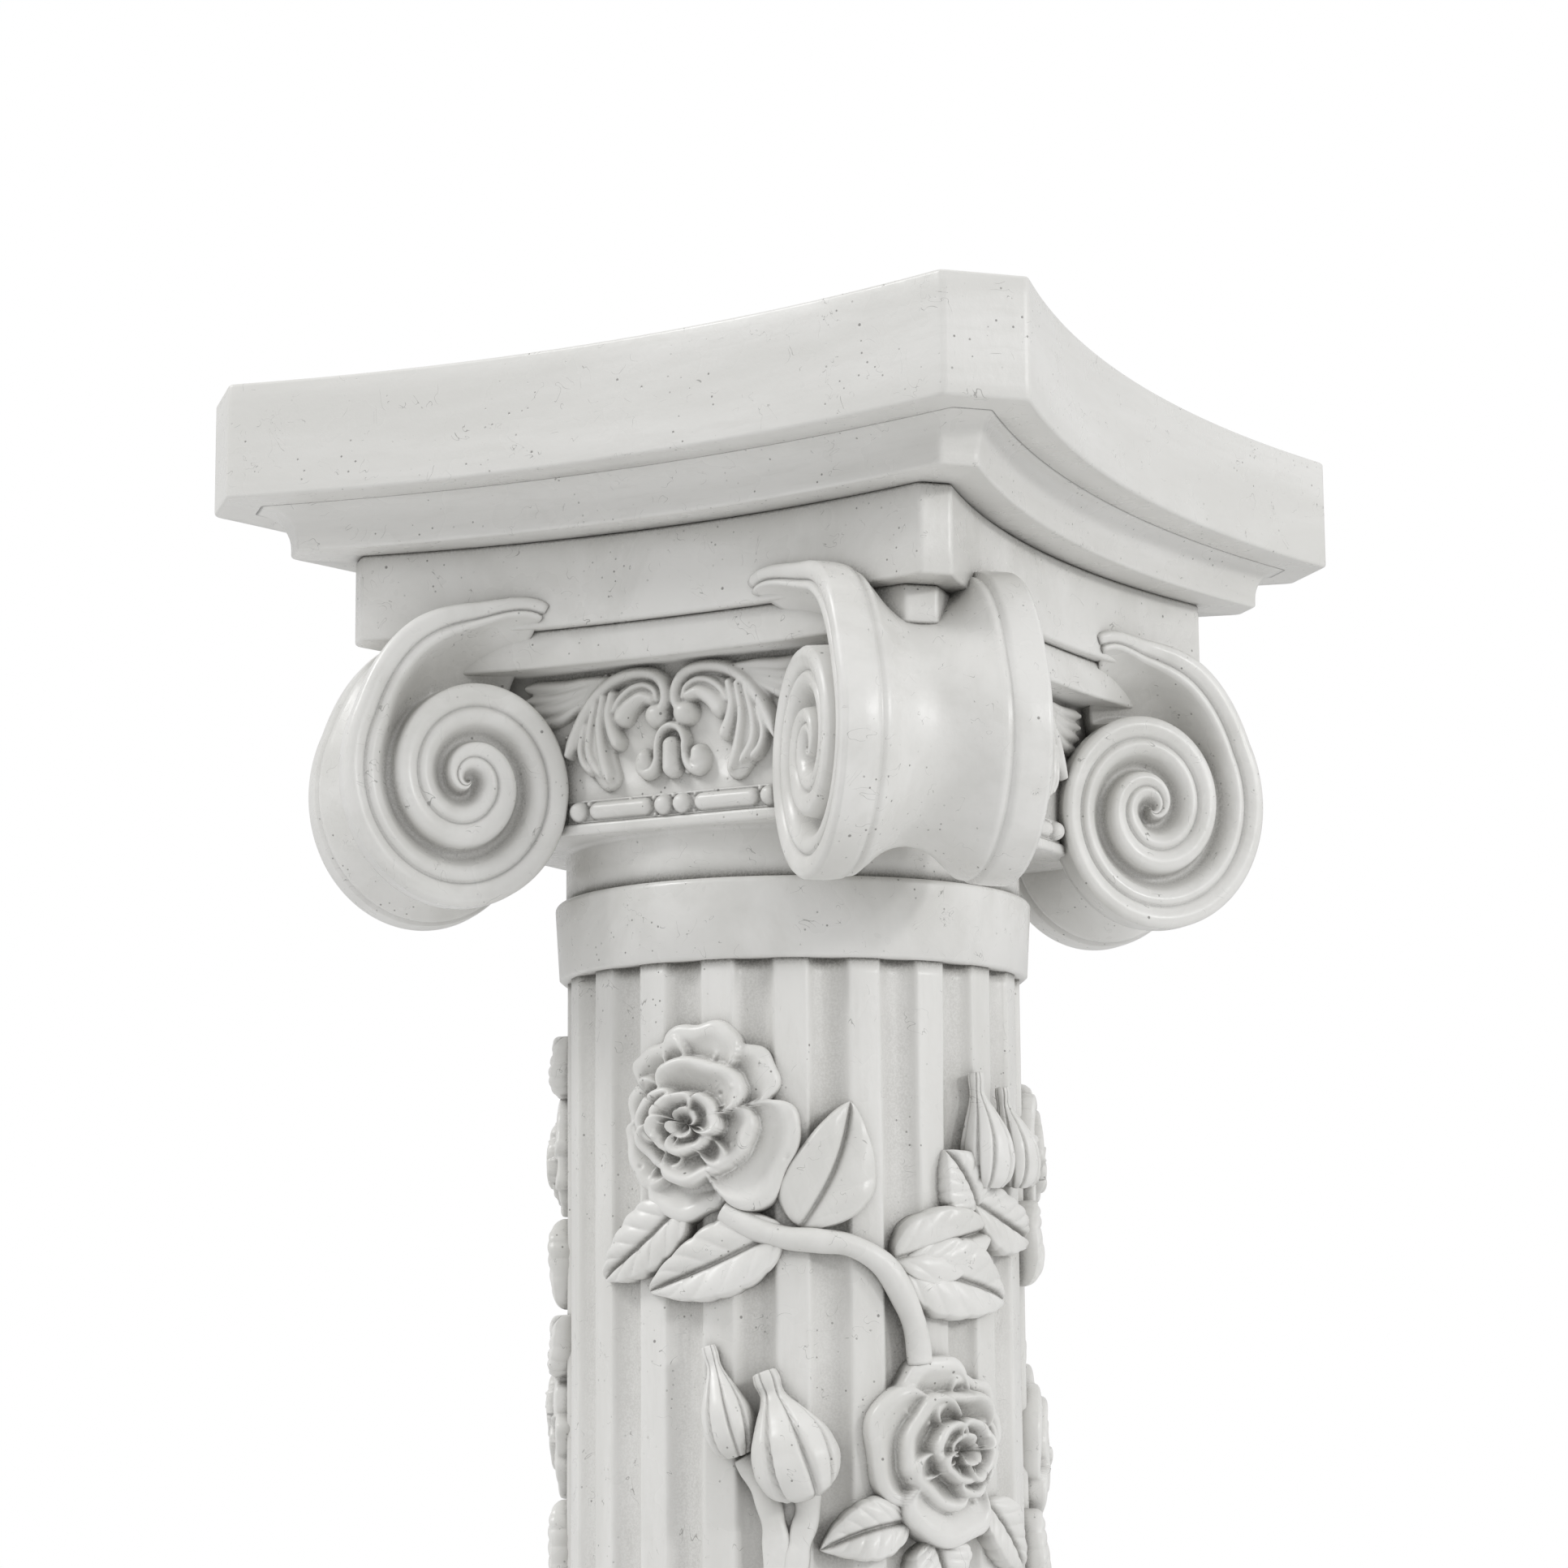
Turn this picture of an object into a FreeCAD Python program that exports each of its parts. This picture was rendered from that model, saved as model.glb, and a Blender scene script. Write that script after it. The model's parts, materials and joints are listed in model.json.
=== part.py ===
import FreeCAD, Part
import math
import os

# Pedestal column stand: a fluted column with a square base, four diagonal volutes under a concave-sided
# top, and sprays of roses on the shaft. Millimetres, +Z up, origin at the centre of the footprint on the
# floor. Azimuth is in degrees, 0 at the front (-Y) and 90 at the right (+X). The pieces are castings
# glued at spigots and drawn together by one tie rod.

# ---- driving dimensions -------------------------------------------------------------------------------

glue_gap = 0.3              # clearance of a spigot in its socket and of the rod in its holes

foot_radius = 12.0
foot_height = 3.0
foot_inset = 24.0           # foot centre from the plinth's sides

plinth_width = 246.0
plinth_height = 38.0
plinth_edge = 1.5           # rounded upper edges
plinth_bore_radius = 84.0
board_radius = 95.7
board_height = 8.0
board_recess = 12.0         # board's underside above the plinth's underside

lower_torus_radius = 113.0
lower_torus_height = 26.0
lower_fillet_height = 3.0
scotia_height = 14.0
scotia_depth = 6.0
scotia_step = 12.0          # how far the scotia draws in from the lower fillet to the upper one
upper_fillet_height = 3.0
upper_torus_height = 16.0
upper_torus_radius = 93.5
base_ring_height = 6.0
base_ring_margin = 6.0      # top ring outside the shaft
base_bore_radius = 74.0
base_flange_height = 12.0   # top of the base casting, which holds the shaft's spigot

shaft_radius = 71.8
shaft_height = 411.2
shaft_bore_radius = 60.0
flute_count = 20
flute_share = 0.545         # of each pitch that is flute; the rest is flat fillet
flute_depth = 3.75
spigot_radius = 64.0
lower_spigot_height = 10.0
upper_spigot_reach = 6.0    # into the capital, past the collar

collar_height = 24.5
collar_margin = 4.0         # outside the shaft at the top
collar_taper = 1.3          # smaller at its underside
collar_edge = 2.0

neck_height = 15.8
neck_margin = 0.5
plate_height = 7.0          # disc over the shaft's end, which the tie rod pulls on
capital_bore_radius = 68.0  # above the socket that holds the plate and the shaft's spigot
panel_half_width = 76.0
panel_height = 40.3
bell_corner_distance = 100.0
lip_height = 3.5
lip_margin = 2.0
bead_course_height = 7.0
canalis_height = 11.7
canalis_mid = 87.5          # distance of the flat band's hollow side from the axis, at mid-side
canalis_corner = 128.0      # distance of its cut corner from the axis
canalis_cut = 10.0          # width of the cut corner

block_height = 27.1
block_mid = 91.0
block_corner = 141.5
block_cut = 9.7

cavetto_height = 13.6
cavetto_lip = 3.0
cavetto_mid = 104.0
cavetto_corner = 161.9
cavetto_cut = 12.1
cavetto_flare = 8.0

slab_height = 36.3
slab_width = 280.0
slab_hollow = 15.8          # sagitta of each side
slab_cut = 26.0             # width of the cut corners
slab_edge = 1.6
slab_pocket_radius = 98.0
slab_top_thickness = 11.0

volute_half_width = 32.0
rim_width = 13.0            # of each raised rim of the scroll's ribbon
waist_depth = 9.0
waist_depth_top = 2.5
crease_depth = 0.8          # step down from a rim to the drawn-in middle
eye_margin = 4.5            # eye outside the corner of the square bell
eye_rise = 16.0             # eye above the underside of the lip
scroll_radius = 39.0        # at the outermost point
scroll_decay = 0.585        # radius left after each turn
scroll_stretch = 1.12       # taller than wide
scroll_turns = 2.7
scroll_band = 0.2           # share of the radius that is the raised band
channel_depth = 6.0
tail_flare = 6.5
tail_start = -25.0          # degrees before the top of the scroll
tail_join = 60.0            # degrees at which the flare has died out

relief_depth = 4.5
bead_radius = 3.1
reel_radius = 2.7
reel_length = 22.0
reel_offset = 18.6
end_bead_offset = 33.4
strip_thickness = 1.2
strip_half_length = 37.0

rod_radius = 4.0
rod_end = 5.0               # of the rod past its nuts
thread_gap = 0.1
washer_radius = 12.0
washer_height = 1.6
nut_width = 13.0            # across flats
nut_height = 6.5

petal_wall = 2.2
petal_tiers = 4
bloom_proud = 13.0          # middle of a bloom outside the shaft
leaf_proud = 4.0
stem_radius = 3.7
stem_sink = 1.3             # how far the stem is let into the shaft's fillets
bloom_drop = 47.2           # upper blooms below the collar
spray_foot_margin = 16.0    # lowest stem ends above the base

# ---- heights, stacked from the floor --------------------------------------------------------------------

plinth_z = foot_height
base_z = plinth_z + plinth_height
scotia_z = base_z + lower_torus_height + lower_fillet_height
upper_torus_z = scotia_z + scotia_height + upper_fillet_height
base_ring_z = upper_torus_z + upper_torus_height
shaft_z = base_ring_z + base_ring_height
collar_z = shaft_z + shaft_height
neck_z = collar_z + collar_height
lip_z = neck_z + neck_height
bead_z = lip_z + lip_height
panel_z = bead_z + bead_course_height
canalis_z = panel_z + panel_height
block_z = canalis_z + canalis_height
cavetto_z = block_z + block_height
slab_z = cavetto_z + cavetto_height
top_z = slab_z + slab_height

board_z = plinth_z + board_recess
plate_z = neck_z + upper_spigot_reach + glue_gap
eye_z = lip_z + eye_rise
eye_distance = panel_half_width * math.sqrt(2) + eye_margin
volute_rim_start = volute_half_width - rim_width

front, right, back, left = 0, 90, 180, 270
sides = {"front": front, "right": right, "back": back, "left": left}
corners = {"front_right": 45, "back_right": 135, "back_left": 225, "front_left": 315}

axis_z = FreeCAD.Vector(0, 0, 1)
origin = FreeCAD.Vector(0, 0, 0)
parts = {}


def point(x, y, z):
    return FreeCAD.Vector(x, y, z)


def turned(shape, azimuth):
    """A piece drawn on +X, carried round the axis to its azimuth."""
    copy = shape.copy()
    copy.rotate(origin, axis_z, azimuth - 90)
    return copy


def cylinder(radius, z_low, z_high, x=0.0, y=0.0):
    return Part.makeCylinder(radius, z_high - z_low, point(x, y, z_low))


def tube(outer, inner, z_low, z_high):
    return cylinder(outer, z_low, z_high).cut(cylinder(inner, z_low, z_high))


def prism(wire, height):
    return Part.Face(wire).extrude(point(0, 0, height))


def fused(shapes):
    return shapes[0].multiFuse(shapes[1:]).removeSplitter() if len(shapes) > 1 else shapes[0]


def concave_plan(mid, corner, cut, z):
    """Square outline with hollow sides and cut corners; corner and mid are distances from the axis."""
    edges = []
    near = (corner - cut / 2) / math.sqrt(2)
    far = (corner + cut / 2) / math.sqrt(2)
    for quarter in range(4):
        spin = FreeCAD.Rotation(axis_z, 90 * quarter)
        start, middle, end, following = [
            spin.multVec(point(x, y, z))
            for x, y in ((-near, -far), (0, -mid), (near, -far), (far, -near))]
        edges.append(Part.Arc(start, middle, end).toShape())
        edges.append(Part.LineSegment(end, following).toShape())
    return Part.Wire(edges)


def cut_square(half_width, corner, z):
    """Square outline with its corners cut off at a distance from the axis."""
    short = corner * math.sqrt(2) - half_width
    outline = []
    for quarter in range(4):
        spin = FreeCAD.Rotation(axis_z, 90 * quarter)
        outline.append(spin.multVec(point(-short, -half_width, z)))
        outline.append(spin.multVec(point(short, -half_width, z)))
    return Part.makePolygon(outline + [outline[0]])


def edges_at(shape, z):
    """Edges that lie flat at one height, for rounding."""
    flat = [edge for edge in shape.Edges
            if abs(edge.BoundBox.ZMin - z) < 0.01 and abs(edge.BoundBox.ZMax - z) < 0.01]
    return flat


# ---- base -----------------------------------------------------------------------------------------------

def make_plinth():
    half = plinth_width / 2
    body = Part.makeBox(plinth_width, plinth_width, plinth_height, point(-half, -half, plinth_z))
    body = body.makeFillet(plinth_edge, edges_at(body, base_z))
    body = body.cut(cylinder(plinth_bore_radius, plinth_z, base_z))
    return body.cut(cylinder(board_radius + glue_gap, plinth_z, board_z + board_height))


def make_feet():
    offset = plinth_width / 2 - foot_inset
    places = [(x, y) for x in (-offset, offset) for y in (-offset, offset)]
    return Part.makeCompound([cylinder(foot_radius, 0, foot_height, x, y) for x, y in places])


def make_base_board():
    board = cylinder(board_radius, board_z, board_z + board_height)
    return board.cut(cylinder(rod_radius + glue_gap, board_z, board_z + board_height))


def make_base_moulding():
    """Two rounded rings with a hollow between them, turned about the axis, bored from below."""
    lower_bulge = lower_torus_height / 2
    upper_bulge = upper_torus_height / 2
    fillet_radius = lower_torus_radius - lower_bulge
    neck_radius = fillet_radius - scotia_step
    upper_edge = upper_torus_radius - upper_bulge
    ring_radius = shaft_radius + base_ring_margin
    scotia_low = scotia_z
    scotia_high = scotia_z + scotia_height

    def at(radius, z):
        return point(radius, 0, z)

    outline = [
        Part.LineSegment(at(0, base_z), at(fillet_radius, base_z)),
        Part.Arc(at(fillet_radius, base_z), at(lower_torus_radius, base_z + lower_bulge),
                 at(fillet_radius, base_z + lower_torus_height)),
        Part.LineSegment(at(fillet_radius, base_z + lower_torus_height), at(fillet_radius, scotia_low)),
        Part.Arc(at(fillet_radius, scotia_low),
                 at((fillet_radius + neck_radius) / 2 - scotia_depth, (scotia_low + scotia_high) / 2),
                 at(neck_radius, scotia_high)),
        Part.LineSegment(at(neck_radius, scotia_high), at(neck_radius, upper_torus_z)),
        Part.LineSegment(at(neck_radius, upper_torus_z), at(upper_edge, upper_torus_z)),
        Part.Arc(at(upper_edge, upper_torus_z), at(upper_torus_radius, upper_torus_z + upper_bulge),
                 at(upper_edge, base_ring_z)),
        Part.LineSegment(at(upper_edge, base_ring_z), at(ring_radius, base_ring_z)),
        Part.LineSegment(at(ring_radius, base_ring_z), at(ring_radius, shaft_z)),
        Part.LineSegment(at(ring_radius, shaft_z), at(0, shaft_z)),
        Part.LineSegment(at(0, shaft_z), at(0, base_z))]
    face = Part.Face(Part.Wire([segment.toShape() for segment in outline]))
    body = face.revolve(origin, axis_z, 360)
    body = body.cut(cylinder(base_bore_radius, base_z, shaft_z - base_flange_height))
    return body.cut(cylinder(spigot_radius + glue_gap, base_z, shaft_z))


# ---- shaft and collar -----------------------------------------------------------------------------------

def on_circle(radius, azimuth, z):
    angle = math.radians(azimuth)
    return point(radius * math.sin(angle), -radius * math.cos(angle), z)


def fluted_prism(z_low, height):
    """Solid column with segmental flutes parted by flat fillets; one flute faces the front."""
    pitch = 360 / flute_count
    half_flute = pitch * flute_share / 2
    edges = []
    for index in range(flute_count):
        middle = index * pitch
        flute_start = on_circle(shaft_radius, middle - half_flute, z_low)
        flute_floor = on_circle(shaft_radius - flute_depth, middle, z_low)
        flute_end = on_circle(shaft_radius, middle + half_flute, z_low)
        fillet_middle = on_circle(shaft_radius, middle + pitch / 2, z_low)
        next_start = on_circle(shaft_radius, middle + pitch - half_flute, z_low)
        edges.append(Part.Arc(flute_start, flute_floor, flute_end).toShape())
        edges.append(Part.Arc(flute_end, fillet_middle, next_start).toShape())
    return prism(Part.Wire(edges), height)


def make_shaft(column):
    low = shaft_z - lower_spigot_height
    high = neck_z + upper_spigot_reach
    return column.fuse(cylinder(spigot_radius, low, high)).cut(cylinder(shaft_bore_radius, low, high))


def make_collar():
    top_radius = shaft_radius + collar_margin
    body = Part.makeCone(top_radius - collar_taper, top_radius, collar_height, point(0, 0, collar_z))
    body = body.makeFillet(collar_edge, edges_at(body, neck_z))
    return body.cut(cylinder(spigot_radius + glue_gap, collar_z, neck_z))


# ---- capital --------------------------------------------------------------------------------------------

def make_bell():
    """Round neck, lip, bead course, square panels and the flat band, as one hollow casting."""
    neck = cylinder(shaft_radius + neck_margin, neck_z, lip_z)
    lip_corner = bell_corner_distance + lip_margin
    lip = prism(cut_square(panel_half_width + lip_margin, lip_corner, lip_z), lip_height)
    bell = prism(cut_square(panel_half_width, bell_corner_distance, bead_z), canalis_z - bead_z)
    band = prism(concave_plan(canalis_mid, canalis_corner, canalis_cut, canalis_z), canalis_height)
    body = fused([neck, lip, bell, band])
    body = body.cut(cylinder(spigot_radius + glue_gap, neck_z, plate_z + plate_height))
    return body.cut(cylinder(capital_bore_radius, plate_z + plate_height, block_z))


def make_rod_plate():
    """Disc in the capital's socket, over the end of the shaft's spigot."""
    disc = cylinder(spigot_radius, plate_z, plate_z + plate_height)
    return disc.cut(cylinder(rod_radius + glue_gap, plate_z, plate_z + plate_height))


def make_block():
    body = prism(concave_plan(block_mid, block_corner, block_cut, block_z), block_height)
    return body.cut(cylinder(capital_bore_radius, block_z, cavetto_z))


def make_cavetto():
    """A low lip, and above it a hollow moulding that flares out to the slab."""
    lip = prism(concave_plan(cavetto_mid, cavetto_corner, cavetto_cut, cavetto_z), cavetto_lip)
    hollow_height = cavetto_height - cavetto_lip
    sections = []
    steps = 4
    for step in range(steps + 1):
        angle = math.radians(90 * step / steps)
        out = cavetto_flare * (1 - math.cos(angle))
        z = cavetto_z + cavetto_lip + hollow_height * math.sin(angle)
        sections.append(concave_plan(cavetto_mid + out, cavetto_corner + out * math.sqrt(2),
                                     cavetto_cut, z))
    hollow = Part.makeLoft(sections, True, True)
    return fused([lip, hollow]).cut(cylinder(capital_bore_radius, cavetto_z, slab_z))


def make_slab():
    half = slab_width / 2
    corner = half * math.sqrt(2) - slab_cut / 2
    shoulder = (corner + slab_cut / 2) / math.sqrt(2)
    body = prism(concave_plan(shoulder - slab_hollow, corner, slab_cut, slab_z), slab_height)
    body = body.makeFillet(slab_edge, edges_at(body, top_z) + edges_at(body, slab_z))
    return body.cut(cylinder(slab_pocket_radius, slab_z, top_z - slab_top_thickness))


# ---- volutes --------------------------------------------------------------------------------------------

def spiral_radius(theta):
    return scroll_radius * scroll_decay ** ((theta - 90) / 360)


def flare_at(theta):
    """How far the scroll's free end lifts off the spiral on its way to the top block."""
    if theta >= tail_join:
        return 0.0
    share = min(1.0, (tail_join - theta) / 40)
    return tail_flare * math.sin(share * math.pi / 2)


def scroll_point(theta, across, scale=1.0, inset=0.0, lift=1.0):
    """A point of the scroll: theta from its top, outwards and down; across is along the scroll's axis."""
    angle = math.radians(theta)
    radius = spiral_radius(theta) * scale - inset
    rise = flare_at(theta) * lift
    return point(eye_distance + radius * math.sin(angle), across,
                 eye_z + scroll_stretch * radius * math.cos(angle) + rise)


def smooth_edge(points):
    curve = Part.BSplineCurve()
    curve.interpolate(points)
    return curve.toShape()


def angles(start, end, step):
    count = max(2, round((end - start) / step))
    return [start + (end - start) * index / count for index in range(count + 1)]


def waist_inset(theta):
    share = min(1.0, max(0.0, theta / 90))
    return waist_depth_top + (waist_depth - waist_depth_top) * share


def core_section(across, waisted):
    """Closed outline of the scroll between its rims, drawn in at mid-width."""
    outline = []
    for theta in angles(5, 335, 22):
        inset = waist_inset(theta) if waisted else crease_depth
        outline.append(scroll_point(theta, across, inset=inset, lift=0.0 if waisted else 1.0))
    return Part.Wire([smooth_edge(outline), Part.LineSegment(outline[-1], outline[0]).toShape()])


def rim_section(across):
    """Closed outline of a rim, with the free end that curls on to the top block."""
    outline = [scroll_point(theta, across) for theta in angles(tail_start, 345, 20)]
    return Part.Wire([smooth_edge(outline), Part.LineSegment(outline[-1], outline[0]).toShape()])


def channel_face(start, end, across):
    """Sunk strip between one turn's raised band and the next turn in."""
    outer = [scroll_point(theta, across, scale=1 - scroll_band) for theta in angles(start, end, 30)]
    inner = [scroll_point(theta, across, scale=scroll_decay, lift=0.0) for theta in angles(start, end, 30)]
    return Part.Face(Part.Wire([
        smooth_edge(outer), Part.LineSegment(outer[-1], inner[-1]).toShape(),
        smooth_edge(inner), Part.LineSegment(inner[0], outer[0]).toShape()]))


def make_volute(capital):
    """Scroll with its axis across the diagonal: two rims, a drawn-in middle and a spiral channel a side."""
    start = volute_rim_start
    core = Part.makeLoft([core_section(-start, False), core_section(0, True), core_section(start, False)],
                         True, False)
    pieces = [core]
    for low in (-volute_half_width, start):
        pieces.append(Part.Face(rim_section(low)).extrude(point(0, rim_width, 0)))
    body = pieces[0].multiFuse(pieces[1:])
    channel_end = tail_join + 360 * scroll_turns
    for sign in (-1, 1):
        face_at = sign * volute_half_width
        channel = channel_face(tail_join, channel_end, face_at).extrude(point(0, -sign * channel_depth, 0))
        recess = channel_face(tail_start - 20, tail_join, face_at)
        body = body.cut(channel)
        body = body.cut(recess.extrude(point(0, -sign * rim_width, 0)))
    body = body.cut(capital)
    return max(body.Solids, key=lambda solid: solid.Volume)


# ---- relief on the capital ------------------------------------------------------------------------------

# Outlines on the right half of a panel, in shares of the panel's height: along it, and up it.
scroll_leaf = [(0.08, 0.50), (0.03, 0.62), (0.06, 0.81), (0.27, 0.95), (0.50, 0.91), (0.72, 0.76),
               (0.89, 0.52), (0.97, 0.32), (0.82, 0.35), (0.72, 0.15), (0.53, 0.05), (0.48, 0.20),
               (0.51, 0.42), (0.52, 0.62), (0.38, 0.79), (0.22, 0.78), (0.19, 0.68), (0.27, 0.58),
               (0.20, 0.48)]
side_leaf = [(0.86, 0.66), (0.95, 0.80), (1.12, 0.90), (1.30, 0.92), (1.22, 0.80), (1.02, 0.68),
             (0.93, 0.52)]
bud_loop = [(0.0, 0.50), (0.10, 0.44), (0.14, 0.30), (0.20, 0.29), (0.29, 0.25), (0.30, 0.15),
            (0.22, 0.10), (0.13, 0.13), (0.08, 0.11), (0.0, 0.09)]


def panel_point(along, up):
    return point(panel_half_width, along * panel_height, panel_z + up * panel_height)


def relief_plate(outline):
    curve = Part.BSplineCurve()
    curve.interpolate([panel_point(along, up) for along, up in outline], PeriodicFlag=True)
    return Part.Face(Part.Wire([curve.toShape()])).extrude(point(relief_depth, 0, 0))


def make_relief(volutes):
    """Pair of leaf scrolls that meet over a small bud, on one panel."""
    plates = []
    for sign in (-1, 1):
        for outline in (scroll_leaf, side_leaf):
            plates.append(relief_plate([(sign * along, up) for along, up in outline]))
    mirrored = [(-along, up) for along, up in reversed(bud_loop[1:-1])]
    plates.append(relief_plate(bud_loop + mirrored))
    body = fused(plates)
    for volute in volutes:
        body = body.cut(volute)
    return Part.makeCompound(body.Solids)


def make_bead_row(volutes):
    """Beads in pairs between long reels, on a thin strip."""
    middle_z = bead_z + bead_course_height / 2
    face = panel_half_width
    strip = Part.makeBox(strip_thickness, 2 * strip_half_length, bead_course_height,
                         point(face, -strip_half_length, bead_z))
    shapes = [strip]
    half_reel = reel_length / 2
    for sign in (-1, 1):
        for along in (sign * bead_radius, sign * end_bead_offset):
            shapes.append(Part.makeSphere(bead_radius, point(face + strip_thickness, along, middle_z)))
        middle = sign * reel_offset
        reel_start = point(face + strip_thickness, middle - half_reel, middle_z)
        shapes.append(Part.makeCylinder(reel_radius, reel_length, reel_start, point(0, 1, 0)))
    body = shapes[0].multiFuse(shapes[1:])
    keep = Part.makeBox(panel_half_width, 3 * strip_half_length, bead_course_height,
                        point(face, -1.5 * strip_half_length, bead_z))
    body = body.common(keep)
    for volute in volutes:
        body = body.cut(volute)
    return Part.makeCompound(body.Solids)


# ---- roses ----------------------------------------------------------------------------------------------

spray_pitch_share = 1.83    # height of the two rows of sprays, in pitches
spray_pitch = (shaft_height - bloom_drop - spray_foot_margin) / spray_pitch_share
upper_bloom_z = collar_z - bloom_drop
lower_bloom_z = upper_bloom_z - spray_pitch

# Places in a spray, from its upper bloom: degrees round the shaft, and pitches up.
lower_bloom_offset = (44.5, -0.521)
stem_places = [(1.7, -0.147), (9.7, -0.179), (21.8, -0.198), (32.4, -0.217), (38.7, -0.274),
               (42.4, -0.336), (42.9, -0.385)]
bud_stem_places = [[(6.5, -0.52), (9.5, -0.60), (11.5, -0.70), (10.0, -0.83)],
                   [(17.0, -0.56), (15.0, -0.63), (16.0, -0.72), (14.5, -0.83)]]
small_bud = ((7.0, -0.53), (-2.7, -0.365), 13.0)
large_bud = ((15.5, -0.585), (11.3, -0.403), 24.0)
spray_leaves = [((17.5, -0.179), (28.1, 0.014), 20.0), ((-10.1, -0.158), (-29.9, -0.28), 16.0),
                ((12.3, -0.186), (-16.3, -0.263), 19.0), ((42.0, -0.62), (22.0, -0.653), 14.0),
                ((57.0, -0.60), (73.5, -0.70), 13.0)]
cluster_leaves = [((64.1, -0.132), (55.4, -0.05), 14.0), ((60.1, -0.12), (84.3, -0.165), 15.0),
                  ((41.8, -0.216), (68.5, -0.17), 17.0), ((41.8, -0.23), (66.0, -0.32), 18.0)]
cluster_buds = [((70.0, -0.10), (64.0, 0.072), 13.0), ((77.6, -0.096), (82.1, 0.057), 12.0)]

upper_bloom_width = 57.0
lower_bloom_width = 52.0
side_bloom_width = 50.0
side_blooms = {"rose_left_upper": (-82, 0.03), "rose_left_lower": (-80, 0.49),
               "rose_left_foot": (-62, 1.10), "rose_right_upper": (130, 0.02),
               "rose_right_lower": (127, 0.52), "rose_right_foot": (140, 1.10)}
side_leaf_offsets = [((-12, -0.10), (-24, -0.24)), ((12, -0.11), (20, -0.26)), ((8, 0.10), (22, 0.19))]
side_leaf_width = 15.0


def scalloped_wire(radius, lobes, spin, z):
    """Ring of petal edges: each petal is an arc that bulges past the notches between petals."""
    notch = radius * 0.84
    edges = []
    for lobe in range(lobes):
        start = 360 * lobe / lobes + spin
        ends = [on_circle(notch, start + step, z) for step in (0, 360 / lobes)]
        crest = on_circle(radius, start + 180 / lobes, z)
        edges.append(Part.Arc(ends[0], crest, ends[1]).toShape())
    return Part.Wire(edges)


def bloom_solid(width):
    """Open rose seen along its axis, +Z: nested cups of petals round a closed heart. Z 0 is the shaft."""
    cups = []
    for tier in range(petal_tiers):
        share = 1 - tier / petal_tiers
        rim = width / 2 * share
        low = -bloom_proud + tier * 2.0
        high = bloom_proud * (0.45 + 0.18 * tier)
        lobes = 5 if tier < 2 else 3
        spin = 40 * tier
        outside = Part.makeLoft([scalloped_wire(rim * 0.72, lobes, spin, low),
                                 scalloped_wire(rim, lobes, spin, high)], True, True)
        floor = high - bloom_proud * 0.45
        mouth = rim - petal_wall
        inside = Part.makeLoft([scalloped_wire(mouth * 0.8, lobes, spin, floor),
                                scalloped_wire(mouth, lobes, spin, high + 0.01)], True, True)
        cup = outside if tier == petal_tiers - 1 else outside.cut(inside)
        cups.append(cup)
    return fused(cups)


def stood_on_shaft(shape, azimuth, z):
    """A piece drawn along +Z with Z 0 at the shaft's face, laid against the shaft at a place."""
    copy = shape.copy()
    copy.rotate(origin, point(0, 1, 0), 90)
    copy.translate(point(shaft_radius, 0, z))
    return turned(copy, azimuth)


def placed(start, offset):
    return start[0] + offset[0], start[1] + offset[1] * spray_pitch


def leaf_solid(base, tip, width):
    """Pointed leaf with a grooved midrib, bent round the shaft, from its foot to its tip."""
    middle = (base[0] + tip[0]) / 2
    across = math.radians(tip[0] - base[0]) * shaft_radius
    rise = tip[1] - base[1]
    length = math.hypot(across, rise)
    belly = 0.45 * length
    foot, point_end = point(0, 0, 0), point(0, 0, length)
    blade = Part.Face(Part.Wire([
        Part.Arc(foot, point(0, width / 2, belly), point_end).toShape(),
        Part.Arc(point_end, point(0, -width / 2, belly), foot).toShape()]))
    blade.translate(point(shaft_radius / 2, 0, -length / 2))
    solid = blade.extrude(point(shaft_radius, 0, 0))
    solid.rotate(origin, point(1, 0, 0), -math.degrees(math.atan2(across, rise)))
    solid.translate(point(0, 0, (base[1] + tip[1]) / 2))
    solid = turned(solid, middle)
    low, high = solid.BoundBox.ZMin - 1, solid.BoundBox.ZMax + 1
    return solid.common(cylinder(shaft_radius + leaf_proud, low, high))


def bud_solid(base, tip, width):
    """Closed bud: a teardrop that lies along the shaft."""
    middle = (base[0] + tip[0]) / 2
    across = math.radians(tip[0] - base[0]) * shaft_radius
    rise = tip[1] - base[1]
    length = math.hypot(across, rise)
    belly = width / 2
    outline = Part.Wire([
        Part.LineSegment(point(0, 0, 0), point(stem_radius * 0.7, 0, 0)).toShape(),
        Part.Arc(point(stem_radius * 0.7, 0, 0), point(belly, 0, 0.36 * length),
                 point(belly * 0.45, 0, 0.75 * length)).toShape(),
        Part.LineSegment(point(belly * 0.45, 0, 0.75 * length), point(0, 0, length)).toShape(),
        Part.LineSegment(point(0, 0, length), point(0, 0, 0)).toShape()])
    solid = Part.Face(outline).revolve(origin, axis_z, 360)
    solid.translate(point(0, 0, -length / 2))
    solid.rotate(origin, point(1, 0, 0), -math.degrees(math.atan2(across, rise)))
    solid.translate(point(shaft_radius + stem_radius - stem_sink, 0, (base[1] + tip[1]) / 2))
    return turned(solid, middle)


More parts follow.
